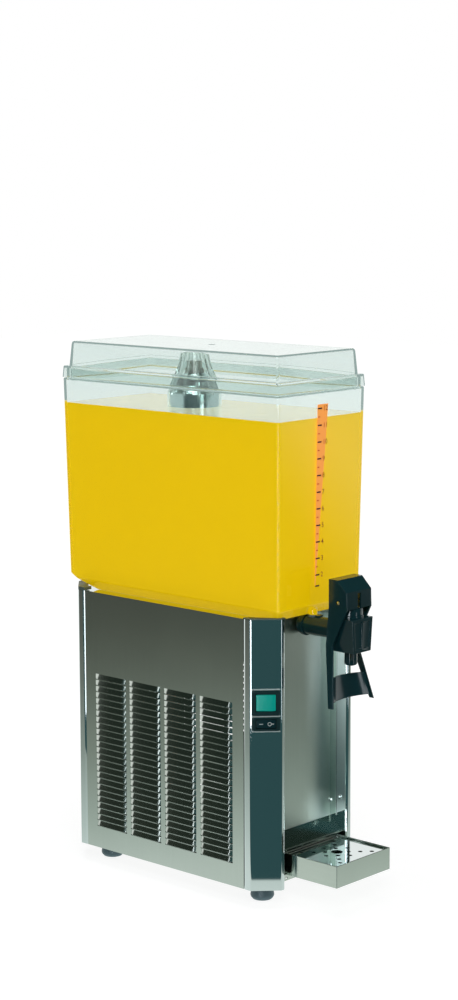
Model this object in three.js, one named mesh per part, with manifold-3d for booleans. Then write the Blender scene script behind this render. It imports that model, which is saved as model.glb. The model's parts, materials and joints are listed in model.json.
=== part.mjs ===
// Refrigerated juice dispenser: a steel cabinet with a cooling unit, a clear bowl with a lid,
// a spray pump over a cold steel column, a push tap and a drip tray.
// Millimetres, +Z up, the tap faces -Y. Heights are measured from the counter.
import * as THREE from 'three';
import { mergeGeometries, mergeVertices } from 'three/addons/utils/BufferGeometryUtils.js';
import Module from 'manifold-3d';

const wasm = await Module();
wasm.setup();

// Driving dimensions.
const gap = 0.3; // between pieces that rest against each other
const overrun = 0.5; // how far a cutting shape runs past what it cuts

const cabinet = { width: 188, height: 341, flatDepth: 300, chamfer: 27.2, strip: 7.2, sheet: 1, flange: 11.5,
  bendRadius: 3, recessDepth: 27.2, panelInset: 0.6 };
const foot = { height: 23, topRadius: 12.5, wideRadius: 15, wideHeight: 7, soleRadius: 12, insetX: 41, insetY: 44.2 };
const pan = { thickness: 1.5, rim: 12 };
const deck = { depth: 4, thickness: 1.2, holeRadius: 24 };
const louvre = { columns: 4, sideMargin: 14.8, columnGap: 7.2, rowPitch: 8.2, lowMargin: 30.5, topMargin: 104,
  height: 6.2, depth: 3, taper: 4 };
const recess = { slopeTop: 64, slopeFoot: 52, lipHeight: 3, lipReach: 16.8, lowerStep: 0.5, sideFlange: 12 };
const cap = { frontHeight: 1.5, frontBand: 4, rearHeight: 4, rearBand: 13 };
const inlet = { fromEdge: 25.8, rise: 37.5, radius: 11, length: 9, nutRadius: 9, nutLength: 8, boreRadius: 4.2,
  mouthRadius: 6.3 };

const bowl = { sideInset: 16, overhang: 5.3, centreY: 0.8, height: 289.7, wall: 3.8, floor: 4, draftShare: 0.0173,
  radius: 6, bevelRise: 14, bevelRun: 10, slopeLength: 51.3, slopeRise: 21, slopeRun: 46, stubRadius: 5.4,
  stubBore: 3.6, stubFront: 11, stubDrop: 8, stubSealWall: 1.3 };
const lid = { height: 31.5, shoulderRise: 3.5, topInset: 6.5, footInset: 3.2, skirtGap: 1.6, skirtWall: 1.9,
  skirtDrop: 15, skirtFlare: 1, innerSkirtDrop: 21.5, wall: 2.4, radius: 7, edge: 1.6 };

const column = { fromCentre: 26.2, radius: 31.5, wall: 1.5, shoulderDrop: 30, domeDrop: 5, pinRadius: 2,
  pinHeight: 11, domeShares: [[1, 0], [0.93, 0.02], [0.76, 0.4], [0.42, 0.97]], hollowShares: [0.71, 0.4] };
const cover = { skirtRadius: 35, wall: 1.6, headroom: 6.6,
  profileShares: [[1, -0.05], [0.945, 0.04], [0.8, 0.223], [0.586, 0.571], [0.443, 0.93], [0.371, 1]] };
const seal = { lipRadius: 40, lip: 3, bodyWall: 4.6 };
const impeller = { hubRadius: 9.5, hubHeight: 16, vaneRadius: 15.5, vaneHeight: 5, vaneThickness: 1.6, vanes: 4,
  clearance: 0.6 };

const tap = { fromBowl: 49.3, pipeDrop: 14.8, pipeRadius: 11.5, pipeBore: 8.5, pipePastStub: 17.2,
  collarRadius: 13.5, collarLength: 7, collarWall: 1.5, blockRise: 19.5, blockDrop: 22.5, blockTopWidth: 40,
  blockBottomWidth: 33, blockDepth: 36, chamberRadius: 9, seatRise: 7, spoutRadius: 8, spoutBore: 5,
  spoutLength: 18, lugWidth: 9, lugLength: 2.5, panelInset: 4.5, panelDepth: 1 };
const bonnet = { radius: 15.5, bandRadius: 14.6, height: 12, bandHeight: 3, springRoom: 9.5, boreRadius: 8.5,
  stemHole: 4.2 };
const plunger = { stemRadius: 3.6, topAbovePin: 4, seatAbove: 14, seatRadius: 7.5, seatThickness: 2 };
const plungerSeal = { radius: 8, lip: 2.4, height: 6, wall: 0.9 };
const spring = { coilRadius: 5.6, wireRadius: 0.6, turns: 4, stepsPerTurn: 7, sides: 4, endGap: 0.35 };
// The lever's heights are measured from the top of the bonnet, its reaches from the plunger's axis.
const lever = { sideGap: 1.6, wall: 2.4, headRise: 36, headRear: 15.5, headFront: 13, brow: 14, browDrop: 14,
  pinRise: 8, pinRadius: 1.6, pinTravel: 2.6, slotWidth: 6, slotRise: 19, plateDrop: 46, plateFootFront: 9.5,
  plateFootRear: 20, armDrop: 120, armSpread: 17, armFootFront: 5, armFootRear: 2, paddleTopDrop: 87,
  paddleBottomDrop: 115, paddleWall: 2.4, paddleHollow: 10 };

const tray = { sideGap: 7.6, length: 85.8, rearGap: 0.4, rise: 15.4, height: 27.9, wall: 1 };
const grid = { drop: 2.6, plate: 1, edgeGap: 1.3, holeRadius: 3, holePitch: 10.3, armHoles: 3, sideHole: 21,
  centreRadius: 7.5, skirtWall: 1 };
const bracket = { thickness: 1.2, sideGap: 1.6, wideReach: 20, tongueInset: 4, tongueReach: 74, apron: 7,
  holeRadius: 1.8, holeInset: 9 };

const switches = { sideMargin: 1.73, topDrop: 87, upperHeight: 32, between: 1.5, lowerHeight: 17.5, proud: 1.4,
  bodyDepth: 12, cornerRadius: 2.5, margin: 2.2, clearance: 0.7, rockerInset: 5.5 };
const greenRocker = { height: 20, foldShare: 0.8, crest: 2.4, edge: 0.9, pivotDepth: 3.5 };
const blackRocker = { height: 10.5, foldShare: 0.5, crest: 1.6, edge: 0.8, pivotDepth: 3.5 };

const compressor = { fromRear: 79.2, radius: 50, crownRadius: 35, rise: 9.5, height: 122, crown: 26,
  seamRadius: 53, seamHeight: 4, plateWidth: 124, plateLength: 112, plateThickness: 2.5, grommetRadius: 8,
  grommetWaist: 6, grommetInset: 12 };
const condenser = { sideRoom: 17.4, depth: 34, rise: 11.5, height: 176, fins: 7, finThickness: 1.2,
  tubeRadius: 4, tubeRows: 2, tubeSides: 4, endPlate: 1.5 };
const fan = { standOff: 30.7, ringInset: 9, ringLength: 20, tipGap: 6, hubRadius: 16, hubLength: 16, blades: 5,
  bladeThickness: 1.4, bladePitch: 24, bladeWidth: 34, shroudThickness: 1.2, motorRadius: 24, motorLength: 34,
  shaftRadius: 3, armWidth: 10, armThickness: 3 };
const driveMotor = { radius: 26, height: 40, belowDeck: 16.8, shaftRadius: 3, bracketWidth: 22,
  bracketThickness: 2, bracketSpan: 66 };
const magnet = { radius: 15, height: 12, below: 14, cover: 1.2 };
const line = { radius: 3.2, sides: 6, steps: 18, rise: 26, motorRoom: 3.2, entryReach: 17 };
const drier = { radius: 9, length: 78, wallGap: 26.4, fromCondenser: 101.7, rise: 27.5, neckRadius: 4,
  neckLength: 12 };
const controlBox = { width: 54.1, length: 80, height: 60, wall: 1.5, belowDeck: 18.8, fromColumn: 47 };

// Places that follow from the driving dimensions.
const sideX = cabinet.width / 2;
const flatY = cabinet.flatDepth / 2;
const frontY = flatY + cabinet.chamfer;
const stripX = sideX - cabinet.chamfer;
const returnX = stripX - cabinet.strip;
const flangeY = flatY - cabinet.flange;
const recessY = -frontY + cabinet.recessDepth;
const insideX = sideX - cabinet.panelInset - cabinet.sheet;
const cabinetBottom = foot.height;
const cabinetTop = cabinetBottom + cabinet.height;
const deckTop = cabinetTop - deck.depth;
const deckUnderside = deckTop - deck.thickness;
const panTop = cabinetBottom + pan.thickness;
const rearPanelHalf = stripX - cabinet.bendRadius;
const inletX = rearPanelHalf - inlet.fromEdge;
const inletZ = panTop + inlet.rise;
const panelHalf = flangeY - gap;
const columnPitch = 2 * (panelHalf - louvre.sideMargin) / louvre.columns;
const louvreLength = columnPitch - louvre.columnGap;
const firstLip = cabinetBottom + louvre.lowMargin;
const louvreRows = Math.floor((cabinetTop - louvre.topMargin - firstLip) / louvre.rowPitch);
const bowlBottom = deckTop + gap;
const bowlFloorTop = bowlBottom + bowl.floor;
const bowlRim = bowlBottom + bowl.height;
const bowlHalfX = sideX - bowl.sideInset;
const bowlHalfY = frontY + bowl.overhang;
const bowlFront = bowl.centreY - bowlHalfY;
const stubY = bowlFront + bowl.stubFront;
const stubSealRadius = bowl.stubRadius + gap + bowl.stubSealWall;
const sealTop = bowlFloorTop + gap + seal.lip;
const lidShoulder = bowlRim + lid.shoulderRise;
const lidTop = lidShoulder + lid.height;
const lidSkirtHalfX = bowlHalfX + lid.skirtGap + lid.skirtWall;
const lidSkirtHalfY = bowlHalfY + lid.skirtGap + lid.skirtWall;
const columnY = bowl.centreY + column.fromCentre;
const columnShoulder = bowlRim - column.shoulderDrop;
const columnTop = bowlRim - column.domeDrop;
const coverTop = lidTop - lid.wall - cover.headroom;
const tapY = bowlFront - tap.fromBowl;
const pipeZ = bowlBottom - tap.pipeDrop;
const pipeRear = stubY + tap.pipePastStub;
const blockTop = pipeZ + tap.blockRise;
const blockBottom = pipeZ - tap.blockDrop;
const tapSeat = blockBottom + tap.seatRise;
const bonnetTop = blockTop + bonnet.height;
const pinZ = bonnetTop + lever.pinRise;
const leverHalf = tap.blockTopWidth / 2 + lever.sideGap + lever.wall;
const plateFoot = bonnetTop - lever.plateDrop;
const armBottom = bonnetTop - lever.armDrop;
const trayHalf = returnX - tray.sideGap;
const trayRear = recessY - recess.lipReach - tray.rearGap;
const trayFront = trayRear - tray.length;
const trayCentreY = (trayFront + trayRear) / 2;
const trayBottom = cabinetBottom + tray.rise;
const trayTop = trayBottom + tray.height;
const trayFloor = trayBottom + tray.wall;
const gridTop = trayTop - grid.drop;
const switchWidth = cabinet.chamfer * Math.SQRT2 - 2 * switches.sideMargin;
const rockerWidth = switchWidth - 2 * switches.rockerInset;
const upperSwitch = { top: cabinetTop - switches.topDrop, height: switches.upperHeight };
const lowerSwitch = { top: upperSwitch.top - upperSwitch.height - switches.between, height: switches.lowerHeight };
const compressorY = frontY - compressor.fromRear;
const compressorBottom = panTop + compressor.rise;
const condenserHalf = insideX - condenser.sideRoom;
const condenserY = recessY + cabinet.sheet + gap + condenser.depth / 2;
const condenserRear = condenserY + condenser.depth / 2;
const condenserBottom = panTop + condenser.rise;
const condenserTop = condenserBottom + condenser.height;
const fanY = condenserRear + fan.standOff;
const fanZ = (condenserBottom + condenserTop) / 2;
const ringRadius = condenserHalf - fan.ringInset;
const motorTop = deckUnderside - driveMotor.belowDeck;

// Materials.
function material(name, color, roughness, metalness, opacity) {
  return new THREE.MeshStandardMaterial({ name, color, roughness, metalness, opacity, transparent: opacity < 1 });
}
const brushedSteel = material('brushed_steel', 0x8f958f, 0.35, 1, 1);
const mirrorSteel = material('mirror_steel', 0xb9c3c3, 0.08, 1, 1);
const satinSteel = material('satin_steel', 0xa9ada8, 0.3, 1, 1);
const zincPlate = material('zinc_plate', 0x9a9c98, 0.5, 0.9, 1);
const capPlastic = material('cap_plastic', 0x5d6a64, 0.45, 0, 1);
const clearPlastic = material('clear_plastic', 0xdfeee8, 0.05, 0, 0.35);
const blackPlastic = material('black_plastic', 0x0d2224, 0.2, 0, 1);
const greenPlastic = material('green_plastic', 0x00aaa0, 0.25, 0, 1);
const darkRubber = material('dark_rubber', 0x2c3f48, 0.6, 0, 1);
const whiteSilicone = material('white_silicone', 0xe6e4dc, 0.5, 0, 1);
const blackEnamel = material('black_enamel', 0x16181a, 0.35, 0.2, 1);
const copper = material('copper', 0xb87344, 0.35, 1, 1);
const aluminium = material('aluminium', 0xb4b8ba, 0.45, 0.9, 1);
const springSteel = material('spring_steel', 0x8a8f92, 0.3, 1, 1);
const whitePlastic = material('white_plastic', 0xe9e9e4, 0.4, 0, 1);

// Geometry helpers.
function solid(geometry) {
  const bare = geometry.clone();
  bare.deleteAttribute('normal');
  bare.deleteAttribute('uv');
  const merged = mergeVertices(bare);
  const vertProperties = Float32Array.from(merged.attributes.position.array);
  const triVerts = Uint32Array.from(merged.index.array);
  return new wasm.Manifold(new wasm.Mesh({ numProp: 3, vertProperties, triVerts }));
}

function surface(body) {
  const mesh = body.getMesh();
  const geometry = new THREE.BufferGeometry();
  geometry.setAttribute('position', new THREE.BufferAttribute(Float32Array.from(mesh.vertProperties), 3));
  geometry.setIndex(new THREE.BufferAttribute(Uint32Array.from(mesh.triVerts), 1));
  return geometry;
}

function join(first, ...others) {
  return surface(others.reduce((body, other) => body.add(solid(other)), solid(first)));
}

function cut(first, ...tools) {
  return surface(tools.reduce((body, tool) => body.subtract(solid(tool)), solid(first)));
}

function node(name, geometry, look) {
  const mesh = new THREE.Mesh(geometry, look);
  mesh.name = name;
  return mesh;
}

function box(x0, x1, y0, y1, z0, z1) {
  const geometry = new THREE.BoxGeometry(x1 - x0, y1 - y0, z1 - z0);
  return geometry.translate((x0 + x1) / 2, (y0 + y1) / 2, (z0 + z1) / 2);
}

function shapeOf(points) {
  return new THREE.Shape(points.map(([u, v]) => new THREE.Vector2(u, v)));
}

// An outline in X and Y, raised from one height to another.
function upright(points, z0, z1) {
  const geometry = new THREE.ExtrudeGeometry(shapeOf(points), { depth: z1 - z0, bevelEnabled: false });
  return geometry.translate(0, 0, z0);
}

// An outline in Y and Z, run across from one X to another.
function across(points, x0, x1) {
  const geometry = new THREE.ExtrudeGeometry(shapeOf(points), { depth: x1 - x0, bevelEnabled: false });
  geometry.rotateX(Math.PI / 2).rotateZ(Math.PI / 2);
  return geometry.translate(x0, 0, 0);
}

// A round bar along Z, X or Y.
function barZ(radius, z0, z1, x, y, sides) {
  const geometry = new THREE.CylinderGeometry(radius, radius, z1 - z0, sides);
  return geometry.rotateX(Math.PI / 2).translate(x, y, (z0 + z1) / 2);
}

function barX(radius, x0, x1, y, z, sides) {
  const geometry = new THREE.CylinderGeometry(radius, radius, x1 - x0, sides);
  return geometry.rotateZ(Math.PI / 2).translate((x0 + x1) / 2, y, z);
}

function barY(radius, y0, y1, x, z, sides) {
  return new THREE.CylinderGeometry(radius, radius, y1 - y0, sides).translate(x, (y0 + y1) / 2, z);
}

// A turned piece: [radius, height] points from the axis, up the outside and back to the axis,
// or a closed ring of points that never meets the axis.
function turned(profile, sides, x, y) {
  const points = profile.map(([radius, height]) => new THREE.Vector2(radius, height));
  return new THREE.LatheGeometry(points, sides).rotateX(Math.PI / 2).translate(x, y, 0);
}

function turnedRing(profile, sides, x, y) {
  return turned([...profile, profile[0]], sides, x, y);
}

// Round every inner corner of an open path with an arc of the given radius.
function roundPath(path, radius, steps) {
  const rounded = [path[0]];
  for (let i = 1; i < path.length - 1; i += 1) {
    const corner = new THREE.Vector2(...path[i]);
    const back = new THREE.Vector2(...path[i - 1]).sub(corner);
    const ahead = new THREE.Vector2(...path[i + 1]).sub(corner);
    const half = Math.acos(back.dot(ahead) / (back.length() * ahead.length())) / 2;
    const reach = Math.min(radius / Math.tan(half), back.length() / 2, ahead.length() / 2);
    const from = corner.clone().addScaledVector(back.normalize(), reach);
    const to = corner.clone().addScaledVector(ahead.normalize(), reach);
    const bend = new THREE.QuadraticBezierCurve(from, corner, to);
    bend.getPoints(steps).forEach((point) => rounded.push([point.x, point.y]));
  }
  rounded.push(path[path.length - 1]);
  return rounded;
}

// The closed outline of bent sheet: the path and its copy shifted to the left by the thickness.
function sheetOutline(path, thickness) {
  const inner = path.map((point, i) => {
    const here = new THREE.Vector2(...point);
    const before = i > 0 ? here.clone().sub(new THREE.Vector2(...path[i - 1])).normalize() : null;
    const after = i < path.length - 1 ? new THREE.Vector2(...path[i + 1]).sub(here).normalize() : null;
    const along = (before || after).clone().add(after || before).normalize();
    const left = new THREE.Vector2(-along.y, along.x);
    const lean = left.dot(new THREE.Vector2(-(before || after).y, (before || after).x));
    return [here.x + left.x * thickness / lean, here.y + left.y * thickness / lean];
  });
  return [...path, ...inner.reverse()];
}

function mirrorPath(path, flipX, flipY) {
  const mirrored = path.map(([x, y]) => [x * flipX, y * flipY]);
  return flipX * flipY < 0 ? mirrored.reverse() : mirrored;
}

// One level of a rounded rectangle.
function ring(halfX, halfY, radius, z, centreY) {
  const cornerSteps = 3;
  const points = [];
  const corners = [[1, 1, 0], [-1, 1, 1], [-1, -1, 2], [1, -1, 3]];
  for (const [sx, sy, quarter] of corners) {
    for (let i = 0; i <= cornerSteps; i += 1) {
      const angle = (quarter + i / cornerSteps) * Math.PI / 2;
      const x = sx * (halfX - radius) + radius * Math.cos(angle);
      const y = sy * (halfY - radius) + radius * Math.sin(angle) + centreY;
      points.push([x, y, z]);
    }
  }
  return points;
}

// A closed solid through levels that have the same number of points, lowest first.
function loft(levels) {
  const count = levels[0].length;
  const positions = levels.flat(2);
  const index = [];
  for (let level = 0; level < levels.length - 1; level += 1) {
    for (let i = 0; i < count; i += 1) {
      const a = level * count + i;
      const b = level * count + (i + 1) % count;
      index.push(a, b, b + count, a, b + count, a + count);
    }
  }
  const top = (levels.length - 1) * count;
  for (let i = 1; i < count - 1; i += 1) {
    index.push(0, i + 1, i, top, top + i, top + i + 1);
  }
  const geometry = new THREE.BufferGeometry();
  geometry.setAttribute('position', new THREE.BufferAttribute(Float32Array.from(positions), 3));
  geometry.setIndex(index);
  return geometry;
}

// A tube along a curve through the given points.
function pipe(points, radius, sides, steps) {
  const curve = new THREE.CatmullRomCurve3(points.map((point) => new THREE.Vector3(...point)));
  const section = new THREE.Shape();
  for (let i = 0; i < sides; i += 1) {
    const angle = i / sides * Math.PI * 2;
    const at = [radius * Math.cos(angle), radius * Math.sin(angle)];
    if (i === 0) section.moveTo(...at);
    else section.lineTo(...at);
  }
  return new THREE.ExtrudeGeometry(section, { steps, extrudePath: curve, bevelEnabled: false });
}

// Cabinet.
function makeFoot(name, x, y) {
  const soleRise = (foot.wideHeight - gap) / 2;
  const profile = [[0, 0], [foot.soleRadius, 0], [foot.wideRadius, soleRise], [foot.wideRadius, foot.wideHeight],
    [foot.topRadius, foot.height - gap], [foot.topRadius, foot.height], [0, foot.height]];
  return node(name, turned(profile, 12, x, y), darkRubber);
}

function cabinetOutline(inset) {
  const notch = returnX + cabinet.bendRadius;
  const side = sideX - cabinet.panelInset - cabinet.sheet - inset;
  const lean = inset * Math.tan(Math.PI / 8);
  const end = frontY - cabinet.sheet - inset;
  const flat = flatY - cabinet.sheet - lean;
  const strip = stripX - cabinet.sheet - lean;
  return [[side, flat], [strip, end], [-strip, end], [-side, flat], [-side, -flat], [-strip, -end],
    [-notch, -end], [-notch, recessY + cabinet.sheet + inset], [notch, recessY + cabinet.sheet + inset],
    [notch, -end], [strip, -end], [side, -flat]].map(([x, y]) => [x, y]);
}

function makePan() {
  const plate = upright(cabinetOutline(gap), cabinetBottom, panTop);
  const rimWall = pan.thickness;
  const rims = [-1, 1].map((side) => {
    const outer = side * (insideX - gap);
    const inner = outer - side * rimWall;
    return box(Math.min(outer, inner), Math.max(outer, inner), -flangeY, flangeY, cabinetBottom, panTop + pan.rim);
  });
  return node('base_pan', join(plate, ...rims), zincPlate);
}

function makeDeck() {
  const plate = upright(cabinetOutline(gap), deckUnderside, deckTop);
  const hole = barZ(deck.holeRadius, deckUnderside - overrun, deckTop + overrun, 0, columnY, 18);
  return node('deck', cut(plate, hole), mirrorSteel);
}

function postPath(withReturn) {
  const path = [[-sideX, -flangeY], [-sideX, -flatY], [-stripX, -frontY], [-returnX, -frontY]];
  if (withReturn) path.push([-returnX, recessY - gap]);
  return roundPath(path, cabinet.bendRadius, 2);
}

function makeFrontPost(side) {
  const path = mirrorPath(postPath(true), -side, 1);
  const shell = upright(sheetOutline(path, cabinet.sheet), cabinetBottom, cabinetTop);
  const innerEdge = side * (returnX - overrun);
  const outerEdge = side * (returnX + cabinet.strip);
  const seatRelief = box(Math.min(innerEdge, outerEdge), Math.max(innerEdge, outerEdge), -frontY + cabinet.sheet,
    recessY, deckUnderside - gap, cabinetTop + overrun);
  return cut(shell, seatRelief);
}

function facetCut({ top, height }) {
  const half = switchWidth / 2 - switches.margin + gap;
  const slot = box(-half, half, -switches.proud, switches.bodyDepth, top - height + switches.margin - gap,
    top - switches.margin + gap);
  return slot.rotateZ(-Math.PI / 4).translate(facetCentre.x, facetCentre.y, 0);
}

function makePosts() {
  const left = cut(makeFrontPost(-1), facetCut(upperSwitch), facetCut(lowerSwitch));
  const right = makeFrontPost(1);
  const rear = (side) => upright(sheetOutline(mirrorPath(postPath(false), -side, -1), cabinet.sheet), cabinetBottom,
    cabinetTop);
  return [node('front_left_post', left, mirrorSteel), node('front_right_post', right, mirrorSteel),
    node('rear_left_post', rear(-1), mirrorSteel), node('rear_right_post', rear(1), mirrorSteel)];
}

function makeCap(name, side, end, height, band) {
  const path = mirrorPath(postPath(false), -side, -end);
  return node(name, upright(sheetOutline(path, band), cabinetTop, cabinetTop + height), capPlastic);
}

// One pressed louvre: a hood whose lip stands off the panel, with its opening at the bottom.
function hood(side, face, y, lip, shrink, back, drop) {
  const half = louvreLength / 2 - shrink;
  const depth = louvre.depth - shrink;
  const rise = louvre.height * depth / louvre.depth;
  const root = side * (face - back);
  const crest = side * (face + depth);
  const taper = louvre.taper;
  const lean = rise * back / depth;
  const low = lip - drop;
  const points = [[root, y - half, low], [crest, y - half + taper, low], [crest, y + half - taper, low],
    [root, y + half, low], [root, y - half + taper, lip + rise + lean], [root, y + half - taper, lip + rise + lean]];
  const faces = [[0, 1, 2], [0, 2, 3], [0, 3, 5], [0, 5, 4], [1, 4, 5], [1, 5, 2], [0, 4, 1], [3, 2, 5]];
  const geometry = new THREE.BufferGeometry();
  geometry.setAttribute('position', new THREE.BufferAttribute(Float32Array.from(points.flat()), 3));
  geometry.setIndex(faces.flatMap(([a, b, c]) => (side > 0 ? [a, c, b] : [a, b, c])));
  return geometry;
}

function makeSidePanel(name, side) {
  const face = sideX - cabinet.panelInset;
  const outer = side * face;
  const inner = side * (face - cabinet.sheet);
  const plate = box(Math.min(outer, inner), Math.max(outer, inner), -panelHalf, panelHalf, cabinetBottom, cabinetTop);
  const hoods = [];
  const mouths = [];
  for (let column = 0; column < louvre.columns; column += 1) {
    const y = (column - (louvre.columns - 1) / 2) * columnPitch;
    for (let row = 0; row < louvreRows; row += 1) {
      const lip = firstLip + row * louvre.rowPitch;
      hoods.push(hood(side, face, y, lip, 0, cabinet.sheet / 2, 0));
      mouths.push(hood(side, face, y, lip, cabinet.sheet, cabinet.sheet + overrun, 0));
    }
  }
  return node(name, cut(join(plate, mergeGeometries(hoods)), mergeGeometries(mouths)), brushedSteel);
}

function makeRearPanel() {
  const outer = frontY - cabinet.sheet - gap;
  const plate = box(-rearPanelHalf, rearPanelHalf, outer - cabinet.sheet, outer, panTop, deckUnderside - gap);
  const hole = barY(inlet.nutRadius + gap, outer - cabinet.sheet - overrun, outer + overrun, inletX, inletZ, 12);
  return node('rear_panel', cut(plate, hole), brushedSteel);
}

function makeCableInlet() {
  const wallOuter = frontY - cabinet.sheet - gap;
  const wallInner = wallOuter - cabinet.sheet;
  const flangeRear = wallOuter + gap + inlet.length;
  const profile = [[inlet.boreRadius, wallInner - inlet.nutLength], [inlet.nutRadius, wallInner - inlet.nutLength],
    [inlet.nutRadius, wallOuter + gap], [inlet.radius, wallOuter + gap],
    [inlet.radius, flangeRear - inlet.length / 2], [inlet.mouthRadius, flangeRear],
    [inlet.boreRadius, flangeRear]];
  const gland = turnedRing(profile, 12, 0, 0).rotateX(-Math.PI / 2).translate(inletX, 0, inletZ);
  return node('cable_inlet', gland, blackPlastic);
}

function makeRecessPanel() {
  const lipY = recessY - recess.lipReach;
  const slopeTop = cabinetBottom + recess.slopeTop;
  const slopeFoot = cabinetBottom + recess.slopeFoot;
  const lipZ = slopeFoot - recess.lipHeight;
  const lowerY = recessY - recess.lowerStep;
  const path = [[recessY, deckUnderside - gap], [recessY, slopeTop], [lipY, slopeFoot], [lipY, lipZ],
    [lowerY, lipZ], [lowerY, panTop]];
  const half = returnX - gap;
  const sheet = across(sheetOutline(path, cabinet.sheet), -half, half);
  const flanges = [-1, 1].map((side) => {
    const outer = side * half;
    const inner = side * (half - cabinet.sheet);
    return box(Math.min(outer, inner), Math.max(outer, inner), recessY - recess.sideFlange,
      recessY + cabinet.sheet / 2, slopeTop, deckUnderside - gap);
  });
  return node('recess_panel', join(sheet, ...flanges), brushedSteel);
}

function makeTrayBracket() {
  const top = trayBottom - gap;
  const under = top - bracket.thickness;
  const wideHalf = returnX - bracket.sideGap;
  const wideFront = recessY - bracket.wideReach;
  const tongueHalf = trayHalf - bracket.tongueInset;
  const apronRear = wideFront + bracket.thickness;
  const wide = box(-wideHalf, wideHalf, wideFront, recessY - recess.lowerStep - gap, under, top);
  const tongue = box(-tongueHalf, tongueHalf, recessY - bracket.tongueReach, apronRear, under, top);
  const apron = box(-wideHalf, wideHalf, wideFront, apronRear, under - bracket.apron, top);
  const holes = [-1, 1].map((side) => barY(bracket.holeRadius, wideFront - overrun, apronRear + overrun,
    side * (wideHalf - bracket.holeInset), under - bracket.apron / 2, 10));
  return node('tray_bracket', cut(join(wide, tongue, apron), ...holes), satinSteel);
}

// Switches on the front-left facet, built upright and turned to the facet together.
const facetCentre = new THREE.Vector2(-(sideX + stripX) / 2, -(flatY + frontY) / 2);

function bezel(name, place, rocker) {
  const halfX = switchWidth / 2;
  const halfZ = place.height / 2;
  const radius = switches.cornerRadius;
  const bevel = switches.proud / 2;
  const frame = loft([ring(halfX, halfZ, radius, 0, 0), ring(halfX, halfZ, radius, bevel, 0),
    ring(halfX - bevel, halfZ - bevel, radius, switches.proud, 0)]);
  const body = box(-halfX + switches.margin, halfX - switches.margin, -halfZ + switches.margin,
    halfZ - switches.margin, -switches.bodyDepth, overrun);
  const mouthX = rockerWidth / 2 + switches.clearance;
  const mouthY = rocker.height / 2 + switches.clearance;
  const mouth = box(-mouthX, mouthX, -mouthY, mouthY, -switches.bodyDepth + switches.proud, switches.proud + overrun);
  const geometry = cut(join(frame, body), mouth);
  return node(name, geometry.rotateX(Math.PI / 2).translate(0, -gap, place.top - halfZ), blackPlastic);
}

function rockerCap(name, place, rocker, look) {
  const half = rockerWidth / 2;
  const fold = -half + rockerWidth * rocker.foldShare;
  const keel = rocker.pivotDepth * 2 - switches.clearance;
  const outline = [[-half, -rocker.edge], [fold, -rocker.crest], [half, -rocker.edge], [half, switches.clearance],
    [half / 2, keel], [-half / 2, keel], [-half, switches.clearance]];
  const middle = place.top - place.height / 2;
  return node(name, upright(outline, middle - rocker.height / 2, middle + rocker.height / 2), look);
}

function makeSwitches() {
  const facet = new THREE.Group();
  facet.position.set(facetCentre.x, facetCentre.y, 0);
  facet.rotation.z = -Math.PI / 4;
  facet.add(bezel('upper_switch_bezel', upperSwitch, greenRocker), bezel('lower_switch_bezel', lowerSwitch, blackRocker),
    rockerCap('green_rocker', upperSwitch, greenRocker, greenPlastic),
    rockerCap('black_rocker', lowerSwitch, blackRocker, blackPlastic));
  return facet;
}

// Bowl, lid and what they hold.
function bowlSolid(inset, floorRise, top) {
  const bottom = bowlBottom + floorRise;
  const bevelTop = bowlBottom + bowl.bevelRise + floorRise / 2;
  const radius = bowl.radius - inset / 2;
  const level = (run, z, at) => {
    const draft = (bowlRim - at) * bowl.draftShare + inset + run;
    return ring(bowlHalfX - draft, bowlHalfY - draft, radius, z, bowl.centreY);
  };
  const body = loft([level(bowl.bevelRun, bottom, bevelTop), level(0, bevelTop, bevelTop), level(0, top, top)]);
  const slope = bowl.slopeRise / bowl.slopeRun;
  const rear = bowl.centreY + bowlHalfY;
  const start = rear - bowl.slopeLength - floorRise * slope / 2;
  const end = rear + overrun;
  const wedge = across([[start, bottom], [start, bottom - overrun], [end, bottom - overrun],
    [end, bottom + (end - start) * slope]], -bowlHalfX, bowlHalfX);
  return cut(body, wedge);
}

function makeBowl() {
  const outer = bowlSolid(0, 0, bowlRim);
  const inner = bowlSolid(bowl.wall, bowl.floor, bowlRim + overrun);
  const stubTop = bowlFloorTop + bowl.bevelRise / 2;
  const stubBottom = bowlBottom - bowl.stubDrop;
  const stub = barZ(bowl.stubRadius, stubBottom, stubTop, 0, stubY, 20);
  const shell = surface(solid(join(outer, stub)).subtract(solid(inner)));
  const drain = barZ(bowl.stubBore, stubBottom - overrun, stubTop + overrun, 0, stubY, 16);
  const columnHole = barZ(column.radius + seal.bodyWall + 2 * gap, bowlBottom - overrun, bowlFloorTop + overrun, 0,
    columnY, 18);
  return node('bowl', cut(shell, drain, columnHole), clearPlastic);
}

function makeColumnSeal() {
  const inner = column.radius + gap;
  const outer = column.radius + gap + seal.bodyWall;
  const profile = [[inner, bowlBottom], [outer, bowlBottom], [outer, bowlFloorTop + gap],
    [seal.lipRadius, bowlFloorTop + gap], [seal.lipRadius, sealTop], [inner, sealTop]];
  return node('evaporator_seal', turnedRing(profile, 18, 0, columnY), darkRubber);
}

function makeSprayCover() {
  const rise = coverTop - columnShoulder;
  const outer = [[cover.skirtRadius, sealTop + gap]];
  cover.profileShares.forEach(([wide, high]) => outer.push([cover.skirtRadius * wide, columnShoulder + rise * high]));
  const inner = outer.map(([radius, z]) => [radius - cover.wall, z]);
  return node('spray_cover', turnedRing([...outer, ...inner.reverse()], 18, 0, columnY), clearPlastic);
}

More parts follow.
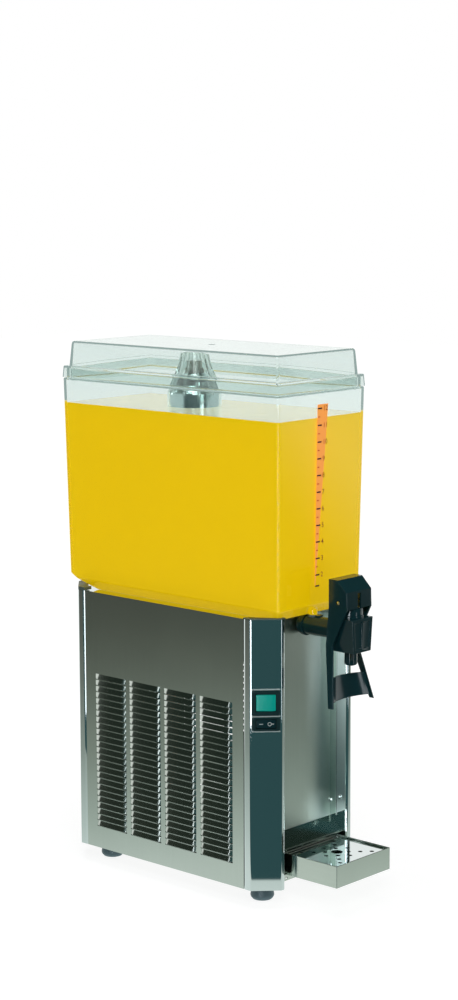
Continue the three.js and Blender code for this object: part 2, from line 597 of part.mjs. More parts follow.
function makeLid() {
  const level = (halfX, halfY, z) => ring(halfX, halfY, lid.radius, z, bowl.centreY);
  const out = (grow, z) => level(lidSkirtHalfX + grow, lidSkirtHalfY + grow, z);
  const over = (inset, z) => level(bowlHalfX - inset, bowlHalfY - inset, z);
  const skirtBottom = lidShoulder - lid.skirtDrop;
  const innerBottom = lidShoulder - lid.innerSkirtDrop;
  const domeFoot = lidShoulder - lid.wall / 2;
  const innerFace = bowl.wall + lid.skirtGap;
  const outside = loft([out(lid.skirtFlare, skirtBottom), out(0, lidShoulder - lid.edge), out(-lid.edge, lidShoulder)]);
  const channel = loft([out(lid.skirtFlare - lid.skirtWall, skirtBottom - overrun), out(-lid.skirtWall, bowlRim + gap)]);
  const dome = loft([over(lid.footInset, domeFoot), over(lid.topInset - lid.edge / 2, lidTop - lid.edge),
    over(lid.topInset + lid.edge / 2, lidTop)]);
  const innerSkirt = loft([over(innerFace, innerBottom), over(innerFace, domeFoot)]);
  const hollow = loft([over(innerFace + lid.wall, innerBottom - overrun), over(innerFace + lid.wall, lidShoulder - lid.wall),
    over(lid.topInset + lid.wall, lidTop - lid.wall)]);
  const flange = solid(outside).subtract(solid(channel));
  const shell = flange.add(solid(innerSkirt)).add(solid(dome)).subtract(solid(hollow));
  return node('lid', surface(shell), clearPlastic);
}

function makeColumn() {
  const rise = columnTop - columnShoulder;
  const [hollowShare, crownShare] = column.hollowShares;
  const outer = [[column.radius, deckTop]];
  column.domeShares.forEach(([wide, high]) => outer.push([column.radius * wide, columnShoulder + rise * high]));
  outer.push([column.pinRadius, columnTop], [column.pinRadius, columnTop + column.pinHeight],
    [0, columnTop + column.pinHeight]);
  const bore = column.radius - column.wall;
  const inner = [[0, columnTop - 2 * column.wall], [column.radius * crownShare, columnTop - 2 * column.wall],
    [column.radius * hollowShare, columnShoulder + 2 * column.wall], [bore, columnShoulder - 2 * column.wall],
    [bore, deckTop]];
  return node('evaporator', turned([...inner, ...outer], 18, 0, columnY), satinSteel);
}

function makeImpeller() {
  const bottom = columnTop + impeller.clearance;
  const top = bottom + impeller.hubHeight;
  const bore = column.pinRadius + gap;
  const boreTop = columnTop + column.pinHeight + gap;
  const hub = turned([[0, boreTop], [bore, boreTop], [bore, bottom], [impeller.hubRadius, bottom],
    [impeller.hubRadius, top - impeller.clearance], [impeller.hubRadius / 2, top], [0, top]], 12, 0, columnY);
  const vanes = [];
  for (let i = 0; i < impeller.vanes; i += 1) {
    const vane = box(impeller.hubRadius - overrun, impeller.vaneRadius, -impeller.vaneThickness / 2,
      impeller.vaneThickness / 2, bottom, bottom + impeller.vaneHeight);
    vanes.push(vane.rotateZ(i / impeller.vanes * Math.PI * 2).translate(0, columnY, 0));
  }
  return node('pump_impeller', join(hub, ...vanes), whitePlastic);
}

// Push tap.
function makeTapBody() {
  const half = tap.blockDepth / 2;
  const front = tapY - half;
  const rear = tapY + half;
  const corners = (halfX, z) => [[-halfX, front, z], [halfX, front, z], [halfX, rear, z], [-halfX, rear, z]];
  const block = loft([corners(tap.blockBottomWidth / 2, blockBottom), corners(tap.blockTopWidth / 2, blockTop)]);
  const tube = barY(tap.pipeRadius, tapY, pipeRear, 0, pipeZ, 16);
  const spout = barZ(tap.spoutRadius, blockBottom - tap.spoutLength, blockBottom + overrun, 0, tapY, 14);
  const lugBottom = pipeZ + tap.pipeRadius / 2;
  const lugs = [-1, 1].map((side) => {
    const y = stubY + side * (stubSealRadius + gap + tap.lugLength / 2);
    return box(-tap.lugWidth / 2, tap.lugWidth / 2, y - tap.lugLength / 2, y + tap.lugLength / 2, lugBottom, bowlBottom - gap);
  });
  const pipeBore = barY(tap.pipeBore, tapY, pipeRear + overrun, 0, pipeZ, 12);
  const chamber = barZ(tap.chamberRadius, tapSeat, blockTop + overrun, 0, tapY, 16);
  const outlet = barZ(tap.spoutBore, blockBottom - tap.spoutLength - overrun, tapSeat + overrun, 0, tapY, 12);
  const socket = barZ(bowl.stubRadius + gap, pipeZ, pipeZ + tap.pipeRadius + overrun, 0, stubY, 14);
  const panelHalf = tap.blockBottomWidth / 2 - tap.panelInset;
  const panel = box(-panelHalf, panelHalf, front - overrun, front + tap.panelDepth, blockBottom + tap.panelInset,
    blockTop - tap.panelDepth);
  const rib = box(-tap.panelDepth, tap.panelDepth, front, front + 2 * tap.panelDepth, blockBottom + tap.panelInset / 2,
    blockTop - 2 * tap.panelDepth);
  const outside = join(cut(join(block, tube, spout), panel), rib, ...lugs);
  return node('tap_body', cut(outside, pipeBore, chamber, outlet, socket), blackPlastic);
}

function makeTapCollar() {
  const front = pipeRear - tap.collarLength;
  const end = pipeRear + tap.collarWall;
  const inner = tap.pipeRadius + gap;
  const profile = [[0, pipeRear + gap], [inner, pipeRear + gap], [inner, front], [tap.collarRadius, front],
    [tap.collarRadius, pipeRear - gap], [tap.pipeRadius, end], [0, end]];
  return node('tap_collar', turned(profile, 16, 0, 0).rotateX(-Math.PI / 2).translate(0, 0, pipeZ), blackPlastic);
}

function makeOutletSeal() {
  const inner = bowl.stubRadius + gap;
  const bottom = pipeZ + tap.pipeRadius + gap;
  const top = bowlBottom - gap;
  const profile = [[inner, bottom], [stubSealRadius, bottom], [stubSealRadius, top], [inner, top]];
  return node('outlet_seal', turnedRing(profile, 12, 0, stubY), darkRubber);
}

function makeBonnet() {
  const bottom = blockTop;
  const profile = [[bonnet.stemHole, bonnetTop], [bonnet.stemHole, bottom + bonnet.springRoom],
    [bonnet.boreRadius, bottom + bonnet.springRoom], [bonnet.boreRadius, bottom], [bonnet.radius, bottom],
    [bonnet.radius, bottom + bonnet.bandHeight], [bonnet.bandRadius, bottom + bonnet.bandHeight + gap],
    [bonnet.bandRadius, bonnetTop]];
  return node('tap_bonnet', turnedRing(profile, 16, 0, tapY), blackPlastic);
}

function makePlunger() {
  const seat = tapSeat + gap;
  const coreTop = seat + plungerSeal.height;
  const flangeBottom = tapSeat + plunger.seatAbove;
  const top = pinZ + plunger.topAbovePin;
  const neck = plunger.stemRadius;
  const profile = [[0, seat + plungerSeal.lip + gap], [neck, seat + plungerSeal.lip + gap], [neck, flangeBottom],
    [plunger.seatRadius, flangeBottom], [plunger.seatRadius, flangeBottom + plunger.seatThickness],
    [neck, flangeBottom + plunger.seatThickness], [neck, top - gap], [neck - gap, top], [0, top]];
  const pinHole = barX(lever.pinRadius + gap, -bonnet.radius, bonnet.radius, tapY, pinZ, 10);
  return [node('tap_plunger', cut(turned(profile, 12, 0, tapY), pinHole), whitePlastic),
    node('plunger_seal', turnedRing([[neck + gap, seat + plungerSeal.lip], [plungerSeal.radius, seat],
      [plungerSeal.radius, seat + plungerSeal.lip], [neck + gap + plungerSeal.wall, coreTop], [neck + gap, coreTop]], 12, 0, tapY),
    whiteSilicone)];
}

function makeSpring() {
  const bottom = tapSeat + plunger.seatAbove + plunger.seatThickness + spring.wireRadius + spring.endGap;
  const top = blockTop + bonnet.springRoom - spring.wireRadius - spring.endGap;
  const steps = spring.turns * spring.stepsPerTurn;
  const positions = [];
  const index = [];
  for (let i = 0; i <= steps; i += 1) {
    const angle = i / spring.stepsPerTurn * Math.PI * 2;
    const z = bottom + (top - bottom) * i / steps;
    for (let j = 0; j < spring.sides; j += 1) {
      const around = j / spring.sides * Math.PI * 2;
      const radius = spring.coilRadius + spring.wireRadius * Math.cos(around);
      positions.push(radius * Math.cos(angle), tapY + radius * Math.sin(angle), z + spring.wireRadius * Math.sin(around));
    }
  }
  for (let i = 0; i < steps; i += 1) {
    for (let j = 0; j < spring.sides; j += 1) {
      const a = i * spring.sides + j;
      const b = i * spring.sides + (j + 1) % spring.sides;
      index.push(a, b + spring.sides, b, a, a + spring.sides, b + spring.sides);
    }
  }
  const last = steps * spring.sides;
  for (let j = 1; j < spring.sides - 1; j += 1) {
    index.push(0, j, j + 1, last, last + j + 1, last + j);
  }
  const geometry = new THREE.BufferGeometry();
  geometry.setAttribute('position', new THREE.BufferAttribute(Float32Array.from(positions), 3));
  geometry.setIndex(index);
  return node('plunger_spring', geometry, springSteel);
}

function makeLeverPin() {
  return node('lever_pin', barX(lever.pinRadius, -leverHalf, leverHalf, tapY, pinZ, 12), springSteel);
}

function makeLever() {
  const { wall } = lever;
  const top = bonnetTop + lever.headRise;
  const rear = tapY + lever.headRear;
  const front = tapY - lever.headFront;
  const bottom = bonnetTop + gap;
  const browY = front + lever.brow;
  const browZ = top - lever.browDrop;
  const footFront = tapY + lever.plateFootFront;
  const footRear = tapY + lever.plateFootRear;
  const head = across([[rear, top], [browY, top], [front, browZ], [front, bottom], [rear, bottom]],
    -leverHalf, leverHalf);
  const room = across([[rear + overrun, top - wall], [browY + wall / 2, top - wall], [front + wall, browZ - wall / 2],
    [front + wall, bottom - overrun], [rear + overrun, bottom - overrun]], -leverHalf + wall, leverHalf - wall);
  const slot = box(-lever.slotWidth / 2, lever.slotWidth / 2, front - overrun, front + wall + overrun,
    bottom - overrun, bonnetTop + lever.slotRise);
  const plate = (side) => across([[rear, bottom + overrun], [front, bottom + overrun], [footFront, plateFoot],
    [footRear, plateFoot]], side > 0 ? leverHalf - wall : -leverHalf, side > 0 ? leverHalf : -leverHalf + wall);
  const arm = (side) => {
    const quad = (half, quadFront, quadRear, z) => {
      const [low, high] = side > 0 ? [half - wall, half] : [-half, wall - half];
      return [[low, quadFront, z], [high, quadFront, z], [high, quadRear, z], [low, quadRear, z]];
    };
    return loft([quad(leverHalf + lever.armSpread, tapY - lever.armFootFront, tapY + lever.armFootRear, armBottom),
      quad(leverHalf, footFront, footRear, plateFoot + overrun)]);
  };
  const holeEnds = [tapY, tapY + lever.pinTravel];
  const holeRadius = lever.pinRadius + gap;
  const pinHole = join(box(-leverHalf - overrun, leverHalf + overrun, ...holeEnds, pinZ - holeRadius, pinZ + holeRadius),
    ...holeEnds.map((y) => barX(holeRadius, -leverHalf - overrun, leverHalf + overrun, y, pinZ, 12)));
  return node('tap_lever', join(cut(join(cut(head, room, slot), plate(-1), plate(1)), pinHole), arm(-1), arm(1),
    makePaddle()), blackPlastic);
}

// The paddle is a band hollowed towards the cabinet, wider at its foot where the arms are further apart.
function makePaddle() {
  const steps = 8;
  const rise = plateFoot - armBottom;
  const footMiddle = (lever.armFootRear - lever.armFootFront) / 2;
  const plateMiddle = (lever.plateFootFront + lever.plateFootRear) / 2;
  const band = (drop) => {
    const z = bonnetTop - drop;
    const part = (z - armBottom) / rise;
    const half = leverHalf - lever.wall / 2 + lever.armSpread * (1 - part);
    const middle = tapY + footMiddle + (plateMiddle - footMiddle) * part;
    const near = [];
    const far = [];
    for (let i = 0; i <= steps; i += 1) {
      const share = i / steps * 2 - 1;
      const y = middle + lever.paddleHollow * (1 - share * share) - lever.paddleWall / 2;
      near.push([share * half, y, z]);
      far.unshift([share * half, y + lever.paddleWall, z]);
    }
    return [...near, ...far];
  };
  return bandLoft([band(lever.paddleBottomDrop), band(lever.paddleTopDrop)], steps + 1);
}

// A closed solid between two levels whose outlines are bands: near points, then far points back.
function bandLoft([low, high], perSide) {
  const count = low.length;
  const index = [];
  for (let i = 0; i < count; i += 1) {
    const next = (i + 1) % count;
    index.push(i, next, next + count, i, next + count, i + count);
  }
  for (let i = 0; i < perSide - 1; i += 1) {
    const far = count - 1 - i;
    index.push(i, far, far - 1, i, far - 1, i + 1);
    index.push(count + i, count + far - 1, count + far, count + i, count + i + 1, count + far - 1);
  }
  const geometry = new THREE.BufferGeometry();
  geometry.setAttribute('position', new THREE.BufferAttribute(Float32Array.from([...low, ...high].flat()), 3));
  geometry.setIndex(index);
  return geometry;
}

// Drip tray.
function makeTray() {
  const outer = box(-trayHalf, trayHalf, trayFront, trayRear, trayBottom, trayTop);
  const inner = box(-trayHalf + tray.wall, trayHalf - tray.wall, trayFront + tray.wall, trayRear - tray.wall,
    trayFloor, trayTop + overrun);
  return node('drip_tray', cut(outer, inner), satinSteel);
}

function makeGrid() {
  const half = trayHalf - tray.wall - grid.edgeGap;
  const front = trayFront + tray.wall + grid.edgeGap;
  const rear = trayRear - tray.wall - grid.edgeGap;
  const plate = box(-half, half, front, rear, gridTop - grid.plate, gridTop);
  const skirts = [-1, 1].map((side) => {
    const inner = side * (half - grid.skirtWall);
    const outer = side * half;
    return box(Math.min(inner, outer), Math.max(inner, outer), front, rear, trayFloor + gap, gridTop - grid.plate / 2);
  });
  const places = [];
  for (let step = 1; step <= grid.armHoles; step += 1) {
    const reach = step * grid.holePitch;
    places.push([reach, reach], [-reach, reach], [-reach, -reach], [reach, -reach]);
  }
  places.push([grid.sideHole, 0], [-grid.sideHole, 0], [0, grid.sideHole], [0, -grid.sideHole]);
  const bottom = gridTop - grid.plate - overrun;
  const holes = places.map(([x, y]) => barZ(grid.holeRadius, bottom, gridTop + overrun, x, trayCentreY + y, 8));
  holes.push(barZ(grid.centreRadius, bottom, gridTop + overrun, 0, trayCentreY, 12));
  return node('drip_grid', cut(join(plate, ...skirts), ...holes), mirrorSteel);
}

// Cooling unit and drives inside the cabinet.
function makeCompressor() {
  const { height, crown, radius, crownRadius, seamRadius, seamHeight } = compressor;
  const bottom = compressorBottom;
  const top = bottom + height;
  const seamFoot = bottom + (height - seamHeight) / 2;
  const seamTop = seamFoot + seamHeight;
  const profile = [[0, bottom], [crownRadius, bottom], [radius, bottom + crown], [radius, seamFoot],
    [seamRadius, seamFoot], [seamRadius, seamTop], [radius, seamTop], [radius, top - crown], [crownRadius, top],
    [0, top]];
  const halfX = compressor.plateWidth / 2;
  const halfY = compressor.plateLength / 2;
  const plateTop = bottom + gap;
  const plate = box(-halfX, halfX, compressorY - halfY, compressorY + halfY, plateTop - compressor.plateThickness,
    plateTop);
  return node('compressor', join(turned(profile, 14, 0, compressorY), plate), blackEnamel);
}

function makeGrommets() {
  const top = compressorBottom + gap - compressor.plateThickness;
  const { grommetRadius, grommetWaist, grommetInset } = compressor;
  const x = compressor.plateWidth / 2 - grommetInset;
  const y = compressor.plateLength / 2 - grommetInset;
  const profile = [[0, panTop], [grommetRadius, panTop], [grommetWaist, (panTop + top) / 2], [grommetRadius, top],
    [0, top]];
  const places = [['front_left', -x, -y], ['front_right', x, -y], ['rear_left', -x, y], ['rear_right', x, y]];
  return places.map(([where, dx, dy]) => node(`compressor_grommet_${where}`,
    turned(profile, 8, dx, compressorY + dy), darkRubber));
}

function makeCondenser() {
  const { depth, height, fins, finThickness, tubeRadius, tubeRows, tubeSides, endPlate } = condenser;
  const front = condenserY - depth / 2;
  const plates = [];
  for (let i = 0; i < fins; i += 1) {
    const x = -condenserHalf + 2 * condenserHalf * (i + 1) / (fins + 1);
    plates.push(box(x - finThickness / 2, x + finThickness / 2, front, condenserRear, condenserBottom + endPlate,
      condenserTop - endPlate));
  }
  const ends = [-1, 1].map((side) => box(side * condenserHalf - endPlate / 2, side * condenserHalf + endPlate / 2,
    front, condenserRear, panTop, condenserTop));
  const tubes = [];
  for (let row = 0; row < tubeRows; row += 1) {
    const z = condenserBottom + height * (row + 1 / 2) / tubeRows;
    tubes.push(barX(tubeRadius, -condenserHalf - tubeRadius, condenserHalf + tubeRadius, condenserY, z, tubeSides));
  }
  return node('condenser', join(plates[0], ...plates.slice(1), ...ends, ...tubes), aluminium);
}

function makeFan() {
  const { hubRadius, hubLength, blades, bladeThickness, bladePitch, bladeWidth, armWidth, armThickness } = fan;
  const shroudFront = condenserRear + gap;
  const shroudRear = shroudFront + fan.shroudThickness;
  const ringRear = shroudRear + fan.ringLength;
  const armFront = fanY + hubLength / 2 + fan.shaftRadius + fan.motorLength / 2;
  const armRear = armFront + armThickness;
  const motorFront = armFront - fan.motorLength / 2;
  const motorRear = armFront + fan.motorLength / 2;
  const ringMiddle = ringRadius + fan.shroudThickness / 2;
  const plate = box(-condenserHalf, condenserHalf, shroudFront, shroudRear, panTop, condenserTop);
  const tube = barY(ringRadius + fan.shroudThickness, shroudFront, ringRear, 0, fanZ, 16);
  const bore = barY(ringRadius, shroudFront - overrun, ringRear + overrun, 0, fanZ, 16);
  const arms = [0, 1].map((turn) => box(-ringMiddle, ringMiddle, armFront, armRear, -armWidth / 2, armWidth / 2)
    .rotateY(turn * Math.PI / 2 + Math.PI / 4).translate(0, 0, fanZ));
  const posts = [0, 1, 2, 3].map((turn) => box(ringMiddle - armThickness, ringMiddle, ringRear - overrun, armRear,
    -armWidth / 2, armWidth / 2).rotateY(turn * Math.PI / 2 + Math.PI / 4).translate(0, 0, fanZ));
  const motorRoom = barY(fan.motorRadius + gap, motorFront - overrun, motorRear + overrun, 0, fanZ, 14);
  const shroud = cut(join(cut(join(plate, tube), bore), ...posts, ...arms), motorRoom);
  const motor = join(barY(fan.motorRadius, motorFront, motorRear, 0, fanZ, 14),
    barY(fan.shaftRadius, fanY - hubLength / 4, motorFront + overrun, 0, fanZ, 10));
  const hub = barY(hubRadius, fanY - hubLength / 2, fanY + hubLength / 2, 0, fanZ, 14);
  const bladeSolids = [];
  for (let i = 0; i < blades; i += 1) {
    const blade = box(hubRadius - 2 * overrun, ringRadius - fan.tipGap, -bladeThickness / 2, bladeThickness / 2,
      -bladeWidth / 2, bladeWidth / 2);
    blade.rotateX(THREE.MathUtils.degToRad(bladePitch)).rotateY(i / blades * Math.PI * 2).translate(0, fanY, fanZ);
    bladeSolids.push(blade);
  }
  const shaftHole = barY(fan.shaftRadius + gap, fanY - hubLength / 4 - gap, fanY + hubLength, 0, fanZ, 12);
  return [node('fan_shroud', shroud, zincPlate), node('fan_motor', motor, blackEnamel),
    node('fan_blades', cut(join(hub, ...bladeSolids), shaftHole), blackPlastic)];
}

function makeDrive() {
  const { radius, height, shaftRadius, bracketWidth, bracketThickness, bracketSpan } = driveMotor;
  const y = columnY;
  const top = motorTop;
  const motor = turned([[0, top - height], [radius, top - height], [radius, top], [0, top]], 16, 0, y);
  const halfSpan = bracketSpan / 2;
  const plateTop = top + gap + bracketThickness;
  const plate = box(-halfSpan, halfSpan, y - bracketWidth / 2, y + bracketWidth / 2, top + gap, plateTop);
  const legs = [-1, 1].map((side) => {
    const outer = side * halfSpan;
    const inner = side * (halfSpan - bracketThickness);
    return box(Math.min(outer, inner), Math.max(outer, inner), y - bracketWidth / 2, y + bracketWidth / 2, top + gap,
      deckUnderside - gap);
  });
  const tabs = [-1, 1].map((side) => {
    const outer = side * (halfSpan + bracketWidth / 2);
    const inner = side * (halfSpan - bracketThickness);
    return box(Math.min(outer, inner), Math.max(outer, inner), y - bracketWidth / 2, y + bracketWidth / 2,
      deckUnderside - gap - bracketThickness, deckUnderside - gap);
  });
  const shaftHole = barZ(shaftRadius + gap * 2, top - overrun, plateTop + overrun, 0, y, 14);
  const magnetBottom = columnShoulder - magnet.below + gap;
  const shaftTop = magnetBottom + magnet.height - gap;
  const shaft = barZ(shaftRadius, top + gap, shaftTop, 0, y, 12);
  const carrierBore = shaftRadius + gap;
  const carrier = turned([[0, shaftTop + gap], [carrierBore, shaftTop + gap], [carrierBore, magnetBottom],
    [magnet.radius, magnetBottom], [magnet.radius, magnetBottom + magnet.height + magnet.cover],
    [0, magnetBottom + magnet.height + magnet.cover]], 14, 0, y);
  return [node('drive_motor', motor, blackEnamel), node('motor_bracket', cut(join(plate, ...legs, ...tabs), shaftHole),
    zincPlate), node('drive_shaft', shaft, springSteel), node('magnet_carrier', carrier, whitePlastic)];
}

function makeLines() {
  const suctionX = compressor.radius / 2;
  const suctionZ = compressorBottom + compressor.height + gap;
  const besideMotor = columnY + driveMotor.radius + line.radius + line.motorRoom;
  const entryY = columnY + line.entryReach;
  const motorFoot = motorTop - driveMotor.height;
  const suction = pipe([[suctionX, compressorY, suctionZ], [suctionX, compressorY, suctionZ + line.rise],
    [0, besideMotor, motorFoot - line.rise], [0, besideMotor, motorFoot], [0, besideMotor, motorTop],
    [0, entryY, deckTop], [0, entryY, deckTop + line.rise / 2]], line.radius, line.sides, line.steps);
  const drierX = insideX - drier.wallGap;
  const drierY = condenserY + drier.fromCondenser;
  const drierZ = panTop + drier.rise;
  const profile = [[0, -drier.length / 2 - drier.neckLength], [drier.neckRadius, -drier.length / 2 - drier.neckLength],
    [drier.neckRadius, -drier.length / 2], [drier.radius, -drier.length / 2 + drier.neckRadius],
    [drier.radius, drier.length / 2 - drier.neckRadius], [drier.neckRadius, drier.length / 2],
    [drier.neckRadius, drier.length / 2 + drier.neckLength], [0, drier.length / 2 + drier.neckLength]];
  const bottle = turned(profile, 10, 0, 0).rotateX(-Math.PI / 2).translate(drierX, drierY, drierZ);
  const foot1 = box(drierX - drier.radius, drierX + drier.radius, drierY - drier.neckRadius,
    drierY + drier.neckRadius, panTop, drierZ);
  const beside = condenserHalf + condenser.tubeRadius + gap + line.radius;
  const neckEnd = drierY - drier.length / 2 - drier.neckLength - gap;
  const lowTube = condenserBottom + condenser.height / 2 / condenser.tubeRows;
  const liquid = pipe([[drierX, neckEnd, drierZ], [drierX, neckEnd - line.radius * 2, drierZ],
    [beside, neckEnd - line.rise, (drierZ + lowTube) / 2], [beside, condenserY, lowTube]],
  line.radius, line.sides, line.steps / 2);
  return [node('suction_line', suction, copper), node('filter_drier', join(bottle, foot1), copper),
    node('liquid_line', liquid, copper)];
}

function makeControlBox() {
  const { width, length, height, wall } = controlBox;
  const left = -insideX + gap;
  const middle = columnY - controlBox.fromColumn;
  const top = deckUnderside - controlBox.belowDeck;
  const outer = box(left, left + width, middle - length / 2, middle + length / 2, top - height, top);
  const room = box(left + wall, left + width - wall, middle - length / 2 + wall, middle + length / 2 - wall,
    top - height - overrun, top - wall);
  return node('control_box', cut(outer, room), whitePlastic);
}

// Assembly, moved so that the middle of its whole length stands over the origin.
const dispenser = new THREE.Group();
const footX = sideX - foot.insetX;
const footY = frontY - foot.insetY;
dispenser.add(
  makePan(),
  makeFoot('foot_front_left', -footX, -footY),
  makeFoot('foot_front_right', footX, -footY),
  makeFoot('foot_rear_left', -footX, footY),
  makeFoot('foot_rear_right', footX, footY),
  makeDeck(),
  ...makePosts(),
  makeCap('front_left_cap', -1, -1, cap.frontHeight, cap.frontBand),
  makeCap('front_right_cap', 1, -1, cap.frontHeight, cap.frontBand),
  makeCap('rear_left_cap', -1, 1, cap.rearHeight, cap.rearBand),
  makeCap('rear_right_cap', 1, 1, cap.rearHeight, cap.rearBand),
  makeSidePanel('left_side_panel', -1),
  makeSidePanel('right_side_panel', 1),
  makeRearPanel(),
  makeCableInlet(),
  makeRecessPanel(),
  makeTrayBracket(),
  makeSwitches(),
  makeBowl(),
  makeColumnSeal(),
  makeSprayCover(),
  makeLid(),
  makeColumn(),
  makeImpeller(),
  makeTapBody(),
  makeTapCollar(),
  makeOutletSeal(),
  makeBonnet(),
  ...makePlunger(),
  makeSpring(),
  makeLeverPin(),
  makeLever(),
  makeTray(),
  makeGrid(),
  makeCompressor(),
  ...makeGrommets(),
  makeCondenser(),
  ...makeFan(),
  ...makeDrive(),
  ...makeLines(),
  makeControlBox(),
);
const rearMost = bowl.centreY + lidSkirtHalfY + lid.skirtFlare;
dispenser.position.y = -(rearMost + trayFront) / 2;

export default dispenser;
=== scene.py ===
import json
import math

import bmesh
import bpy
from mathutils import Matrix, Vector

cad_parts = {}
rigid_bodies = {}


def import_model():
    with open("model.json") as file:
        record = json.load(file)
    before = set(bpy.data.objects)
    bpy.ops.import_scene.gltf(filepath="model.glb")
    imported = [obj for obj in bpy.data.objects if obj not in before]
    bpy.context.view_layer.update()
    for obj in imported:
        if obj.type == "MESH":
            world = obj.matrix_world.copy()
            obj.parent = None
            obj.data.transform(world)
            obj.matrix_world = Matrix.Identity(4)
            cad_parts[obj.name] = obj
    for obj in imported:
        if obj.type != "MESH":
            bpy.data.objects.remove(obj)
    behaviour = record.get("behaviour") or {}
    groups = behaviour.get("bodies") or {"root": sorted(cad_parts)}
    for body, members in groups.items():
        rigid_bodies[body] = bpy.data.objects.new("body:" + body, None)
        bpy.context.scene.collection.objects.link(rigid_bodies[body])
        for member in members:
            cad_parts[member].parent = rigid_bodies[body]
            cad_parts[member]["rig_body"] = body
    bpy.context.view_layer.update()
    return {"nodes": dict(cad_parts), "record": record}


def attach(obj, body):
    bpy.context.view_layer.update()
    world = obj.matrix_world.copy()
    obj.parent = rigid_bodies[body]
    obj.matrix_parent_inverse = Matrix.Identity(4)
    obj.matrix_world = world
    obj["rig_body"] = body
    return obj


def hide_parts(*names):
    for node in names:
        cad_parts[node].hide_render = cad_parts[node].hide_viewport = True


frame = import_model()
nodes = frame["nodes"]
nodeSlots = {part["node"]: part["material_slot"] for part in frame["record"]["subparts"]}

# Lengths are millimetres in the dispenser's own drawing, where y 0 is the middle of the cabinet.
# The frame has its origin under the middle of the whole length, this much further back.
frameShift = 32.6
upward = Vector((0, 0, 1))
alongX = Vector((1, 0, 0))
alongY = Vector((0, 1, 0))

# Points this near are one, in metres: in a new mesh, and in the copy of a CAD node or of a repeated cell.
sameSpot = 0.00001
sameSpotInCopy = 0.00002
curveAngle = 32
sheetAngle = 40
# A face looks one way when this much of its normal does.
mostly = 0.9


def at(x, y, z):
    return Vector((x, y + frameShift, z)) / 1000


def mm(value):
    return value / 1000


def srgb(red, green, blue):
    linear = []
    for channel in (red, green, blue):
        share = channel / 255
        linear.append(share / 12.92 if share <= 0.04045 else ((share + 0.055) / 1.055) ** 2.4)
    return (*linear, 1)


def stage(text):
    print("scene:", text)


# Modelling helpers. Those that finish a mesh leave it active, at the origin, in object mode.
def deselectAll():
    bpy.ops.object.select_all(action="DESELECT")


def pick(made):
    deselectAll()
    made.select_set(True)
    bpy.context.view_layer.objects.active = made


def openMesh(made):
    pick(made)
    bpy.ops.object.mode_set(mode="EDIT")
    bpy.ops.mesh.select_all(action="SELECT")


def closeMesh():
    bpy.ops.object.mode_set(mode="OBJECT")


def startPoint(name):
    deselectAll()
    bpy.ops.mesh.primitive_plane_add(size=0.001)
    made = bpy.context.object
    made.name = made.data.name = name
    bpy.ops.object.mode_set(mode="EDIT")
    bpy.ops.mesh.select_mode(type="VERT")
    bpy.ops.mesh.select_all(action="SELECT")
    bpy.ops.mesh.merge(type="CENTER")
    return made


def extrudeBy(step):
    bpy.ops.mesh.extrude_region_move(TRANSFORM_OT_translate={"value": step})


def drawPath(name, points):
    made = startPoint(name)
    bpy.ops.transform.translate(value=points[0])
    for previous, point in zip(points, points[1:]):
        extrudeBy(point - previous)
    bpy.ops.mesh.select_all(action="SELECT")
    return made


def shadeSmooth(angle=curveAngle):
    bpy.ops.object.shade_smooth_by_angle(angle=math.radians(angle))


def mergeMesh():
    bpy.ops.mesh.select_all(action="SELECT")
    bpy.ops.mesh.remove_doubles(threshold=sameSpot)
    bpy.ops.mesh.normals_make_consistent(inside=False)


def finishMesh(made):
    mergeMesh()
    closeMesh()
    shadeSmooth()
    return made


# A round piece: its profile is (radius, reach along the axis) in millimetres from the place.
def turned(name, profile, place, axis=upward, steps=64):
    side = alongX if abs(axis.x) < 0.5 else alongY
    side = (side - axis * side.dot(axis)).normalized()
    made = drawPath(name, [place + side * mm(radius) + axis * mm(reach) for radius, reach in profile])
    bpy.ops.mesh.spin(steps=steps, angle=math.tau, center=place, axis=axis)
    return finishMesh(made)


def selectParts(made, kind, test):
    bpy.ops.mesh.select_all(action="DESELECT")
    bpy.ops.mesh.select_mode(type=kind)
    shape = bmesh.from_edit_mesh(made.data)
    for part in shape.faces if kind == "FACE" else shape.edges:
        part.select_set(test(part))
    shape.select_flush_mode()
    bmesh.update_edit_mesh(made.data)


def selectFaces(made, test):
    selectParts(made, "FACE", test)


def selectEdges(made, test):
    selectParts(made, "EDGE", test)


def applyModifiers(made):
    pick(made)
    for modifier in list(made.modifiers):
        bpy.ops.object.modifier_apply(modifier=modifier.name)


# Flat faces beside a rounding keep their own normal, so that they reflect as flat metal does.
def keepFlatsFlat(made):
    weigh = made.modifiers.new("flat faces", "WEIGHTED_NORMAL")
    weigh.weight = 90
    weigh.keep_sharp = True
    applyModifiers(made)
    return made


def softenEdges(made, width, segments=2, angle=30):
    bevel = made.modifiers.new("soft edges", "BEVEL")
    bevel.width = mm(width)
    bevel.segments = segments
    bevel.limit_method = "ANGLE"
    bevel.angle_limit = math.radians(angle)
    applyModifiers(made)
    shadeSmooth()
    return keepFlatsFlat(made)


def thicken(made, thickness):
    solid = made.modifiers.new("wall", "SOLIDIFY")
    solid.thickness = mm(thickness)
    solid.offset = -1
    solid.use_even_offset = True
    applyModifiers(made)
    return made


def combine(made, tool, operation="DIFFERENCE"):
    mix = made.modifiers.new("combined", "BOOLEAN")
    mix.operation = operation
    mix.solver = "EXACT"
    mix.object = tool
    applyModifiers(made)
    bpy.data.objects.remove(tool)
    return made


def joinPieces(first, *others):
    pick(first)
    for other in others:
        other.select_set(True)
    bpy.ops.object.join()
    return first


def applyPlace():
    bpy.ops.object.transform_apply(location=True, rotation=True, scale=True)


def giveSelectedFaces(made, look):
    made.data.materials.append(look)
    made.active_material_index = len(made.data.materials) - 1
    bpy.ops.object.material_slot_assign()


